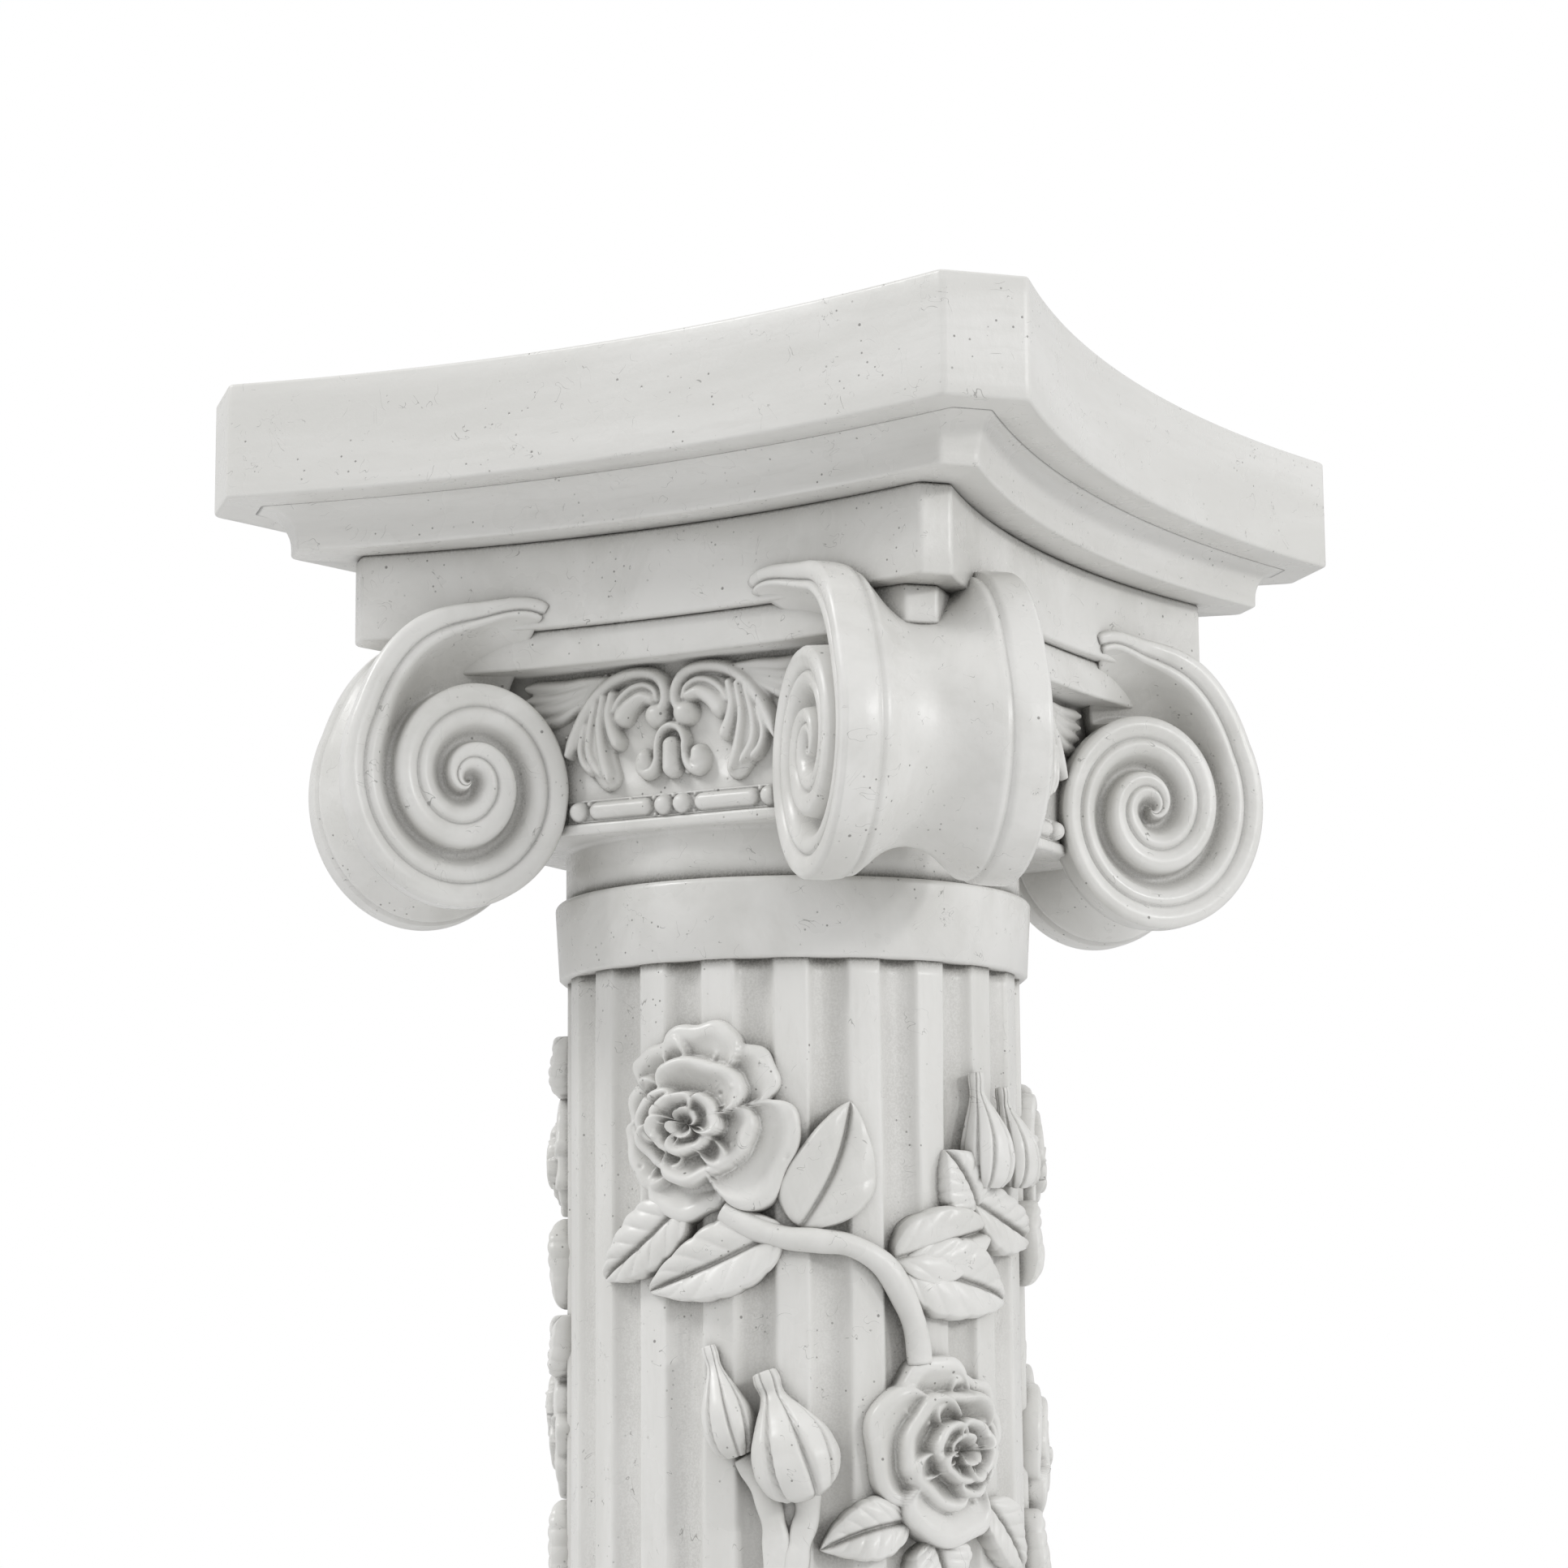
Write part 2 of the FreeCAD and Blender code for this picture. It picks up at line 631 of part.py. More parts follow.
def stem_solid(places):
    """Round stem over the flutes: straight runs joined by arcs, as wide as the runs allow."""
    reach = shaft_radius + stem_radius - stem_sink
    route = [on_circle(reach, azimuth, z) for azimuth, z in places]
    edges = []
    last = route[0]
    for before, corner, after in zip(route, route[1:], route[2:]):
        back_run, on_run = before - corner, after - corner
        trim = 0.45 * min(back_run.Length, on_run.Length)
        bend_in = corner + back_run.normalize() * trim
        bend_out = corner + on_run.normalize() * trim
        half_turn = back_run.getAngle(on_run) / 2
        radius = trim * math.tan(half_turn)
        inward = (back_run + on_run).normalize()
        crest = corner + inward * (radius / math.sin(half_turn) - radius)
        edges.append(Part.LineSegment(last, bend_in).toShape())
        edges.append(Part.Arc(bend_in, crest, bend_out).toShape())
        last = bend_out
    edges.append(Part.LineSegment(last, route[-1]).toShape())
    path = Part.Wire(edges)
    ring = Part.Wire([Part.Circle(route[0], route[1] - route[0], stem_radius).toShape()])
    return path.makePipeShell([ring], True, False)


def seated(shapes, column, others):
    """Pieces cut to the shaft's face, and clear of the pieces that they would run into."""
    solids = []
    for shape in shapes:
        body = shape.cut(column)
        for other in others:
            if body.BoundBox.intersect(other.BoundBox):
                body = body.cut(other)
        solids.extend(solid for solid in body.Solids if solid.Volume > 1.0)
    return solids


def add_spray(name, azimuth, z, column, clustered):
    """Two blooms, the stem between them, a pair of buds on their stems, and the leaves."""
    start = (azimuth, z)
    upper = stood_on_shaft(bloom_solid(upper_bloom_width), *start)
    lower = stood_on_shaft(bloom_solid(lower_bloom_width), *placed(start, lower_bloom_offset))
    blooms = seated([upper, lower], column, [])
    parts["rose_" + name + "_upper"] = blooms[0]
    parts["rose_" + name + "_lower"] = blooms[1]
    taken = list(blooms)
    stem = seated([stem_solid([placed(start, place) for place in stem_places])], column, taken)
    taken += stem
    parts["rose_stem_" + name] = Part.makeCompound(stem)
    bud_shapes = [small_bud, large_bud] + (cluster_buds if clustered else [])
    buds = []
    for base, tip, width in bud_shapes:
        buds += seated([bud_solid(placed(start, base), placed(start, tip), width)], column, taken + buds)
    taken += buds
    parts["rose_buds_" + name] = Part.makeCompound(buds)
    bud_stems = []
    for places in bud_stem_places:
        bud_stems += seated([stem_solid([placed(start, place) for place in places])], column,
                            taken + bud_stems)
    taken += bud_stems
    parts["bud_stems_" + name] = Part.makeCompound(bud_stems)
    leaves = []
    for base, tip, width in spray_leaves + (cluster_leaves if clustered else []):
        leaf = leaf_solid(placed(start, base), placed(start, tip), width)
        leaves += seated([leaf], column, taken + leaves)
    parts["rose_leaves_" + name] = Part.makeCompound(leaves)
    return taken + leaves


def add_side_roses(column, taken):
    """Single blooms between the sprays, each with three leaves."""
    leaves = {"left": [], "right": []}
    for name, (azimuth, drop) in side_blooms.items():
        start = (azimuth, upper_bloom_z - drop * spray_pitch)
        bloom = seated([stood_on_shaft(bloom_solid(side_bloom_width), *start)], column, taken)[0]
        parts[name] = bloom
        taken.append(bloom)
        side = name.split("_")[1]
        for base, tip in side_leaf_offsets:
            leaf = leaf_solid(placed(start, base), placed(start, tip), side_leaf_width)
            cut_leaf = seated([leaf], column, taken)
            leaves[side] += cut_leaf
            taken += cut_leaf
    for side, solids in leaves.items():
        parts["rose_leaves_" + side] = Part.makeCompound(solids)


# ---- tie rod --------------------------------------------------------------------------------------------

def hexagon_nut(z):
    corner = nut_width / math.sqrt(3)
    outline = [on_circle(corner, 60 * index, z) for index in range(7)]
    nut = prism(Part.makePolygon(outline), nut_height)
    return nut.cut(cylinder(rod_radius + thread_gap, z, z + nut_height))


def washer(z):
    return tube(washer_radius, rod_radius + glue_gap, z, z + washer_height)


def add_tie_rod():
    """Rod from under the base board to the plate on the shaft, with a washer and a nut at each end."""
    plate_top = plate_z + plate_height
    low_washer_z = board_z - washer_height
    low_nut_z = low_washer_z - nut_height
    high_nut_z = plate_top + washer_height
    rod_low = low_nut_z - rod_end / 2
    parts["tie_rod"] = cylinder(rod_radius, rod_low, high_nut_z + nut_height + rod_end)
    parts["tie_rod_washers"] = Part.makeCompound([washer(low_washer_z), washer(plate_top)])
    parts["tie_rod_nuts"] = Part.makeCompound([hexagon_nut(low_nut_z), hexagon_nut(high_nut_z)])


# ---- assembly -------------------------------------------------------------------------------------------

def build():
    parts["foot_pads"] = make_feet()
    parts["plinth"] = make_plinth()
    parts["base_board"] = make_base_board()
    parts["base_moulding"] = make_base_moulding()
    column = fluted_prism(shaft_z, shaft_height)
    parts["fluted_shaft"] = make_shaft(column)
    parts["collar_band"] = make_collar()
    parts["capital_bell"] = make_bell()
    parts["rod_plate"] = make_rod_plate()
    parts["capital_block"] = make_block()
    parts["cavetto_course"] = make_cavetto()
    parts["abacus_slab"] = make_slab()
    capital = parts["capital_bell"].fuse(parts["capital_block"])
    volute = make_volute(turned(capital, right + 45))
    for name, azimuth in corners.items():
        parts["volute_" + name] = turned(volute, azimuth)
    beside_panel = [turned(volute, right - 45), turned(volute, right + 45)]
    relief = make_relief(beside_panel)
    bead_row = make_bead_row(beside_panel)
    for name, azimuth in sides.items():
        parts["acanthus_" + name] = turned(relief, azimuth)
        parts["bead_row_" + name] = turned(bead_row, azimuth)
    taken = []
    for name, azimuth, z in (("front", 11, upper_bloom_z), ("back", 191, upper_bloom_z),
                             ("front_foot", 24, lower_bloom_z), ("back_foot", 204, lower_bloom_z)):
        taken += add_spray(name, azimuth, z, column, clustered=name == "front")
    add_side_roses(column, taken)
    add_tie_rod()


build()
os.makedirs("parts", exist_ok=True)
for node, shape in parts.items():
    shape.exportStep("parts/" + node + ".step")
    print(node, len(shape.Solids), "solid(s)", "valid" if shape.isValid() else "NOT VALID")
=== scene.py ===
import json
import math

import bmesh
import bpy
import numpy as np
from mathutils import Matrix, Vector


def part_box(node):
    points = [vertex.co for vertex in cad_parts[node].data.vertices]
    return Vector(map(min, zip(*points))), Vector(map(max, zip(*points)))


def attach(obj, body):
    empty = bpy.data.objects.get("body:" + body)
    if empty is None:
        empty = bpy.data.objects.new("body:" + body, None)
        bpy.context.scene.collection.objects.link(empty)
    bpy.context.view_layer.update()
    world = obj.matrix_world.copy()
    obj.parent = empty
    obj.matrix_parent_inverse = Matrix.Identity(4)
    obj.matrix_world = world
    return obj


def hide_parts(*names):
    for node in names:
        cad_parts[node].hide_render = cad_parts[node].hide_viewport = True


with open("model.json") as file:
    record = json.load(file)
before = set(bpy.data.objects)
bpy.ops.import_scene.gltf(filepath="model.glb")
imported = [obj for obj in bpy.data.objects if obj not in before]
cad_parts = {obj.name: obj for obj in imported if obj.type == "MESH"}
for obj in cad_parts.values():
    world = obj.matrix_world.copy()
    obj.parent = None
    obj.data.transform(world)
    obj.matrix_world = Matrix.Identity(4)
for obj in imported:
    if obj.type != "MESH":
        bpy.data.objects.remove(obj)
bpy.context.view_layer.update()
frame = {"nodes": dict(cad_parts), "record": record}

# Pedestal column in cast resin. Sizes are in millimetres and turned into metres by build_piece. Azimuth is in
# degrees, 0 at the front (-Y) and 90 at the right (+X). A relief is drawn on a grid of heights over the
# surface that carries it, and closed by a second grid sunk into that surface.

MM = 0.001
ROOT = "root"
RESIN = "cast_resin"


def node_mm(node):
    """Lowest and highest corner of a node, in millimetres."""
    low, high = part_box(node)
    return np.array(low) / MM, np.array(high) / MM


# ---- sizes read from the frame ----

collar_low, collar_high = node_mm("collar_band")
bell_low, bell_high = node_mm("capital_bell")
block_low, block_high = node_mm("capital_block")
cavetto_low, cavetto_high = node_mm("cavetto_course")
slab_low, slab_high = node_mm("abacus_slab")
moulding_high = node_mm("base_moulding")[1]
shaft_foot, collar_foot = moulding_high[2], collar_low[2]

shaft_radius = 71.8  # over the fillets between the flutes
flute_count = 20
flute_depth = 3.75
panel_half_width = 76.0  # from the axis to the face of a relief panel
lip_z = 560.5  # foot of the capital's lip
bead_z = 564.0  # foot of the bead rows
panel_z = 571.0  # foot of the relief panels
canalis_z = 611.3  # foot of the flat band over the panels

# Azimuths of the four faces and the four corners.
sides = {"front": 0, "right": 90, "back": 180, "left": 270}
corners = {"front_right": 45, "back_right": 135, "back_left": 225, "front_left": 315}


# ---- meshes ----

def build_piece(node, ending, points, faces, weld=0.0, finish=None):
    """A mesh object from points in millimetres, named after the CAD node that it stands for."""
    mesh = bpy.data.meshes.new(node + ending)
    mesh.from_pydata((np.asarray(points) * MM).tolist(), [], faces)
    if weld:
        weld_mesh(mesh, weld * MM)
    mesh.validate()
    mesh.polygons.foreach_set("use_smooth", [True] * len(mesh.polygons))
    mesh.materials.append(finish or materials[RESIN])
    piece = bpy.data.objects.new(node + ending, mesh)
    bpy.context.collection.objects.link(piece)
    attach(piece, ROOT)
    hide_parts(node)


def weld_mesh(mesh, distance):
    """Joins points nearer to each other than a distance, and turns the faces outward."""
    shell = bmesh.new()
    shell.from_mesh(mesh)
    bmesh.ops.remove_doubles(shell, verts=shell.verts, dist=distance)
    bmesh.ops.recalc_face_normals(shell, faces=shell.faces)
    shell.to_mesh(mesh)
    shell.free()


def turned_points(points, azimuth):
    """Points drawn on +X, carried round the axis to an azimuth."""
    angle = math.radians(azimuth - 90)
    cosine, sine = math.cos(angle), math.sin(angle)
    spin = np.array([[cosine, -sine, 0], [sine, cosine, 0], [0, 0, 1]])
    return np.asarray(points) @ spin.T


def build_copies(stem, ending, points, faces, places, weld=0.0):
    for name, azimuth in places.items():
        build_piece(stem + name, ending, turned_points(points, azimuth), faces, weld)


def about_axis(reach, azimuth, z):
    """Points at a distance from the axis, an azimuth in radians and a height."""
    return np.stack([reach * np.sin(azimuth), -reach * np.cos(azimuth), z], -1)


def grid_faces(rows, columns, round_rows=False, keep=None):
    """Quads of a grid, with corners as indices, and the open edges round the cells that are kept."""
    last = rows if round_rows else rows - 1
    i, j = np.meshgrid(np.arange(last), np.arange(columns - 1), indexing="ij")
    if keep is None:
        keep = np.ones((last, columns - 1), bool)
    after = (i + 1) % rows
    a, b, c, d = i * columns + j, after * columns + j, after * columns + j + 1, i * columns + j + 1
    quads = np.stack([a, b, c, d], -1)[keep]
    padded = np.pad(keep, 1)
    if round_rows:
        padded[0, 1:-1], padded[-1, 1:-1] = keep[-1], keep[0]
    edges = []
    for start, end, beside in ((a, b, padded[1:-1, :-2]), (b, c, padded[2:, 1:-1]),
                               (c, d, padded[1:-1, 2:]), (d, a, padded[:-2, 1:-1])):
        rim = keep & ~beside
        edges.append(np.stack([start[rim], end[rim]], -1))
    return quads, np.concatenate(edges)


def lidded(top, bottom, round_rows=False, keep=None):
    """Closed shell between two grids of points with the same layout."""
    rows, columns = top.shape[:2]
    quads, rim = grid_faces(rows, columns, round_rows, keep)
    count = rows * columns
    walls = np.stack([rim[:, 1], rim[:, 0], rim[:, 0] + count, rim[:, 1] + count], -1)
    faces = np.concatenate([quads, quads[:, ::-1] + count, walls])
    points = np.concatenate([top.reshape(-1, 3), bottom.reshape(-1, 3)])
    used, compact = np.unique(faces, return_inverse=True)
    return points[used], compact.reshape(faces.shape).tolist()


def joined(shells):
    """Several shells as one list of points and one of faces."""
    points, faces, count = [], [], 0
    for shell_points, shell_faces in shells:
        points.append(np.asarray(shell_points))
        faces += [[corner + count for corner in face] for face in shell_faces]
        count += len(shell_points)
    return np.concatenate(points), faces


def smoothstep(value, low, high):
    """0 at low and 1 at high, with soft turns; low may be the larger one."""
    share = np.clip((value - low) / (high - low), 0, 1)
    return share * share * (3 - 2 * share)


def curve_through(points, count):
    """Smooth curve through a few points, as count points (Catmull-Rom)."""
    points = np.asarray(points, float)
    ends = np.concatenate([[2 * points[0] - points[1]], points, [2 * points[-1] - points[-2]]])
    place = np.linspace(0, len(points) - 1, count)
    index = np.minimum(place.astype(int), len(points) - 2)
    t = (place - index)[:, None]
    p0, p1, p2, p3 = (ends[index + step] for step in range(4))
    return 0.5 * (2 * p1 + (p2 - p0) * t + (2 * p0 - 5 * p1 + 4 * p2 - p3) * t ** 2
                  + (3 * p1 - p0 - 3 * p2 + p3) * t ** 3)


def profile(pairs, value):
    """Height at a value, read from a short list of (place, height) with rounded turns between them."""
    places, heights = np.array(pairs).T
    index = np.clip(np.searchsorted(places, value) - 1, 0, len(places) - 2)
    share = np.clip((value - places[index]) / (places[index + 1] - places[index]), 0, 1)
    share = share * share * (3 - 2 * share)
    return heights[index] * (1 - share) + heights[index + 1] * share


# ---- materials ----

def new_material(name):
    material = bpy.data.materials.new(name)
    material.use_nodes = True
    tree = material.node_tree
    return material, tree, tree.nodes["Principled BSDF"]


def feed(tree, socket, value):
    if isinstance(value, bpy.types.NodeSocket):
        tree.links.new(value, socket)
    else:
        socket.default_value = value


def add(tree, kind, **settings):
    node = tree.nodes.new(kind)
    for key, value in settings.items():
        if hasattr(node, key):
            setattr(node, key, value)
        else:
            feed(tree, node.inputs[key], value)
    return node


def noise(tree, place, scale, detail=3.0, roughness=0.55, distortion=0.0):
    return add(tree, "ShaderNodeTexNoise", Vector=place, Scale=scale, Detail=detail, Roughness=roughness,
               Distortion=distortion).outputs["Fac"]


def ramp(tree, value, low, high, start=0.0, end=1.0):
    node = add(tree, "ShaderNodeMapRange", interpolation_type="SMOOTHSTEP", Value=value)
    for key, number in (("From Min", low), ("From Max", high), ("To Min", start), ("To Max", end)):
        node.inputs[key].default_value = number
    return node.outputs["Result"]


def math_node(tree, operation, *values):
    node = add(tree, "ShaderNodeMath", operation=operation)
    for socket, value in zip(node.inputs, values):
        feed(tree, socket, value)
    return node.outputs[0]


def product(tree, first, *others):
    for other in others:
        first = math_node(tree, "MULTIPLY", first, other)
    return first


def mix_colour(tree, factor, a, b):
    node = add(tree, "ShaderNodeMix", data_type="RGBA")
    for key, value in ((0, factor), (6, a), (7, b)):
        feed(tree, node.inputs[key], value)
    return node.outputs[2]


def shade(colour):
    return (*colour, 1.0)


def spots(tree, place, scale, size, share):
    """Small round spots scattered through the casting: 1 inside a spot, for a share of the cells."""
    cells = add(tree, "ShaderNodeTexVoronoi", Vector=place, Scale=scale).outputs
    near = ramp(tree, cells["Distance"], size * 1.25, size * 0.7)
    return product(tree, near, ramp(tree, cells["Color"], 1 - share, 1.02 - share))


def occluded_share(tree, reach, open_at, closed_at):
    """1 in hollows narrower than a reach, 0 on open faces; read from ambient occlusion, so it follows where
    shade falls.
    """
    hollow = add(tree, "ShaderNodeAmbientOcclusion", samples=5, Distance=reach)
    return ramp(tree, hollow.outputs["AO"], open_at, closed_at)


def flute_share_of(tree, place):
    """1 on the floor of the shaft's flutes, 0 on the fillets between them."""
    split = add(tree, "ShaderNodeSeparateXYZ", Vector=place).outputs
    squares = [product(tree, split[axis], split[axis]) for axis in (0, 1)]
    distance = math_node(tree, "SQRT", math_node(tree, "ADD", *squares))
    return ramp(tree, distance, (shaft_radius - 0.2) * MM, (shaft_radius - flute_depth) * MM)


def add_bump(tree, shader, height, distance):
    bump = add(tree, "ShaderNodeBump", Strength=0.3, Distance=distance, Height=height)
    feed(tree, shader.inputs["Normal"], bump.outputs[0])


ivory, dulled = shade((0.79, 0.785, 0.765)), shade((0.70, 0.695, 0.67))
# Wash and dirt darken the hollows and flutes: partly the resin's own wash and dirt, partly painted shade.
# Dirt also colours the pits and scratches.
wash_and_shade, dirt_and_crevice_shade = shade((0.43, 0.42, 0.395)), shade((0.16, 0.155, 0.145))


def resin_ground(tree, drawn, streaks):
    mottle = ramp(tree, noise(tree, drawn, 26, 5, 0.62, 0.5), 0.36, 0.68)
    colour = mix_colour(tree, mottle, ivory, dulled)
    if streaks:
        brushed = ramp(tree, noise(tree, drawn, streaks, 4, 0.7), 0.46, 0.74, 0.0, 0.55)
        colour = mix_colour(tree, brushed, colour, dulled)
    return colour


def washed_and_shaded(tree, place, colour, darkens_flutes):
    """Darkens the colour in the hollows: patchy wash and painted shade in the wide hollows and the flutes,
    and dirt and painted shade in the narrow ones.
    """
    wide_reach, tight_reach = 0.04, 0.005
    grain = ramp(tree, noise(tree, place, 1500, 2, 0.6), 0.36, 0.62, 0.45, 1.0)
    patches = ramp(tree, noise(tree, place, 34, 4, 0.65), 0.3, 0.62, 0.55, 1.0)
    # Wide hollows, recesses and the undersides of overhangs: wash and painted shade.
    wide = product(tree, occluded_share(tree, wide_reach, 0.72, 0.22), patches, 0.6)
    colour = mix_colour(tree, wide, colour, wash_and_shade)
    # The flute floors are darkened: partly wash, partly painted shade.
    if darkens_flutes:
        flute_wash_and_shade = product(tree, flute_share_of(tree, place), patches, grain, 0.42)
        colour = mix_colour(tree, flute_wash_and_shade, colour, wash_and_shade)
    # Narrow hollows are darkened through ambient occlusion: partly dirt, partly painted shade in the creases.
    tight = product(tree, occluded_share(tree, tight_reach, 0.76, 0.26), grain, 0.72)
    return mix_colour(tree, tight, colour, dirt_and_crevice_shade)


def resin_pits(tree, place, pitted):
    clusters = ramp(tree, noise(tree, place, 30, 3, 0.6), 0.46, 0.62)
    specks = product(tree, spots(tree, place, 330, 0.11, 0.65), clusters)
    return math_node(tree, "MAXIMUM", specks, spots(tree, place, 105, 0.05, pitted))


def resin_scratches(tree, place):
    wander = noise(tree, place, 70, 2, 0.5, 2.0)
    away = math_node(tree, "ABSOLUTE", math_node(tree, "SUBTRACT", wander, 0.5))
    thread = ramp(tree, away, 0.0045, 0.001)
    broken = ramp(tree, noise(tree, place, 120, 2, 0.5), 0.56, 0.60)
    return product(tree, thread, broken, 0.55)


def resin_material(name, streaks=0, stretch=(1, 1, 1), pitted=0.6, darkens_flutes=False):
    """Ivory cast resin under a grey-brown wash that stays in the hollows, partly real wash and partly painted
    shade, with specks, pits and scratches.
    """
    material, tree, shader = new_material(name)
    place = add(tree, "ShaderNodeTexCoord").outputs["Object"]
    drawn = add(tree, "ShaderNodeMapping", Vector=place, Scale=stretch).outputs[0]
    colour = washed_and_shaded(tree, place, resin_ground(tree, drawn, streaks), darkens_flutes)
    pits = resin_pits(tree, place, pitted)
    marks = math_node(tree, "MAXIMUM", product(tree, pits, 0.75), resin_scratches(tree, place))
    feed(tree, shader.inputs["Base Color"], mix_colour(tree, marks, colour, dirt_and_crevice_shade))
    feed(tree, shader.inputs["Roughness"], ramp(tree, noise(tree, place, 45, 3), 0.3, 0.7, 0.24, 0.36))
    shader.inputs["Specular IOR Level"].default_value = 0.42
    fine = math_node(tree, "SUBTRACT", noise(tree, place, 200, 4, 0.6), product(tree, pits, 2.0))
    add_bump(tree, shader, fine, 0.0004)
    return material


def plain_material(name, colour, other, scale, roughness, metallic=0.0):
    """A mottled material for the hidden hardware."""
    material, tree, shader = new_material(name)
    place = add(tree, "ShaderNodeTexCoord").outputs["Object"]
    mottle = ramp(tree, noise(tree, place, scale, 4), 0.35, 0.65)
    feed(tree, shader.inputs["Base Color"], mix_colour(tree, mottle, shade(colour), shade(other)))
    add_bump(tree, shader, mottle, 0.0002)
    shader.inputs["Roughness"].default_value = roughness
    shader.inputs["Metallic"].default_value = metallic
    return material


materials = {
    RESIN: resin_material("cast_resin"),
    "zinc_steel": plain_material("zinc_steel", (0.62, 0.63, 0.64), (0.5, 0.51, 0.53), 300, 0.35, 1.0),
    "fibreboard": plain_material("fibreboard", (0.45, 0.33, 0.2), (0.38, 0.27, 0.16), 500, 0.85),
    "rubber_pad": plain_material("rubber_pad", (0.05, 0.05, 0.05), (0.07, 0.07, 0.07), 400, 0.8),
}
# Streaks drawn out level along the slab and the course under it, and streaks drawn down the shaft.
brushed_resin = resin_material("cast_resin_brushed", 330, (0.14, 0.14, 1.0), 0.2)
# The shaft's resin also darkens the floors of the flutes with wash and painted shade.
run_resin = resin_material("cast_resin_run", 160, (1.0, 1.0, 0.22), 0.4, True)


# ---- castings ----

flute_share = 0.545  # of the flutes' pitch, the width of one flute
shaft_bore = 61.0
capital_bore = 68.0
socket_radius, socket_top = 64.3, 558.0
casting_weld = 0.005
edge_round = 1.1  # eased edges of the courses
soft_turns = ((1.0, 0.0), (0.5, 0.13), (0.13, 0.5), (0.0, 1.0))  # inset and rise, as shares of edge_round
ring_angles = np.arange(0, 360, 0.25)
# Hollow-sided courses: middle of a side and corner, from the axis, and the width of the corner's cut.
cavetto_plan = (104.0, 161.9, 12.1)
block_plan = (91.0, 141.5, 9.7)
band_plan = (87.5, 128.0, 10.0)
# Straight-sided courses: half width, and the cut corner's distance from the axis.
lip_plan = (panel_half_width + 2, 102.0)
panel_plan = (panel_half_width, 100.0)


def evened(distance):
    return (np.roll(distance, 1) + 2 * distance + np.roll(distance, -1)) / 4


def polar(outline):
    """Distance from the axis at each ring angle of a closed outline of points."""
    angle = np.degrees(np.arctan2(outline[:, 1], outline[:, 0])) % 360
    order = np.argsort(angle)
    return evened(np.interp(ring_angles, angle[order], np.hypot(*outline[order].T), period=360))


def hollow_plan(mid, corner, cut, inset=0.0):
    """Square with hollow sides and cut corners; mid and corner are distances from the axis."""
    side_points, cut_points = 700, 60
    mid, corner = mid - inset, corner - inset * math.sqrt(2)
    near, far = (corner - cut / 2) / math.sqrt(2), (corner + cut / 2) / math.sqrt(2)
    bow = (near ** 2 + (far - mid) ** 2) / (2 * (far - mid))
    along = np.linspace(-near, near, side_points, endpoint=False)
    side = np.stack([mid + bow - np.sqrt(bow ** 2 - along ** 2), along], -1)
    share = np.linspace(0, 1, cut_points, endpoint=False)[:, None]
    quarter = np.concatenate([side, np.array([far, near]) * (1 - share) + np.array([near, far]) * share])
    turn = np.array([[0, 1], [-1, 0]])
    return polar(np.concatenate([quarter @ np.linalg.matrix_power(turn, index) for index in range(4)]))


def cut_square(half_width, corner, inset=0.0):
    """Square with its corners cut off at a distance from the axis."""
    angle = np.radians(ring_angles)
    across = np.maximum(np.abs(np.cos(angle)), np.abs(np.sin(angle)))
    diagonal = np.abs(np.cos(angle)) + np.abs(np.sin(angle))
    return evened(np.minimum((half_width - inset) / across, (corner - inset) * math.sqrt(2) / diagonal))


def circle(radius):
    return np.full(ring_angles.shape, float(radius))


def ring_shell(rings, looped):
    """Closed skin through rings of (distances, height); looped joins the last ring to the first."""
    angle = np.radians(ring_angles)
    loop = rings + rings[:1] if looped else rings
    grid = np.stack([np.stack([distance * np.cos(angle), distance * np.sin(angle), z + 0 * angle], -1)
                     for distance, z in loop], 1)
    count, length = grid.shape[:2]
    faces = grid_faces(count, length, round_rows=True)[0].tolist()
    if not looped:
        faces.append([index * length for index in range(count)])
        faces.append([index * length + length - 1 for index in reversed(range(count))])
    return grid.reshape(-1, 3), faces


def build_casting(node, rings, looped=True, finish=None):
    build_piece(node, "_casting", *ring_shell(rings, looped), casting_weld, finish)


def eased_foot(plan, low):
    """Rings round the rounded lower edge of a course, from a plan that takes an inset."""
    return [(plan(inset * edge_round), low + rise * edge_round) for inset, rise in soft_turns]


def eased(plan, low, high, rows=2):
    """Rings up one course of a plan, with rounded lower and upper edges."""
    middle = [(plan(0.0), z) for z in np.linspace(low + edge_round, high - edge_round, rows + 2)[1:-1]]
    head = [(plan(inset * edge_round), high - rise * edge_round) for inset, rise in reversed(soft_turns)]
    return eased_foot(plan, low) + middle + head


def bored(low, high):
    return [(circle(capital_bore), high), (circle(capital_bore), low)]


def plan_of(outline, *sizes):
    return lambda inset: outline(*sizes, inset)


def add_slab():
    half, hollow, cut = slab_high[0], 15.8, 26.0
    pocket, ceiling, flat_share = 98.0, slab_high[2] - 11.0, 0.97
    plan = plan_of(hollow_plan, half - hollow, half * math.sqrt(2) - cut / 2, cut)
    flat = plan(edge_round)
    under = [(circle(reach), ceiling) for reach in (1, pocket / 2 + 1, pocket)]
    under += [(circle(pocket), slab_low[2]), (flat * flat_share, slab_low[2])]
    over = [(flat * share, slab_high[2]) for share in (flat_share, 0.8, 0.5, 0.02)]
    build_casting("abacus_slab", under + eased(plan, slab_low[2], slab_high[2], rows=5) + over, False,
                  brushed_resin)


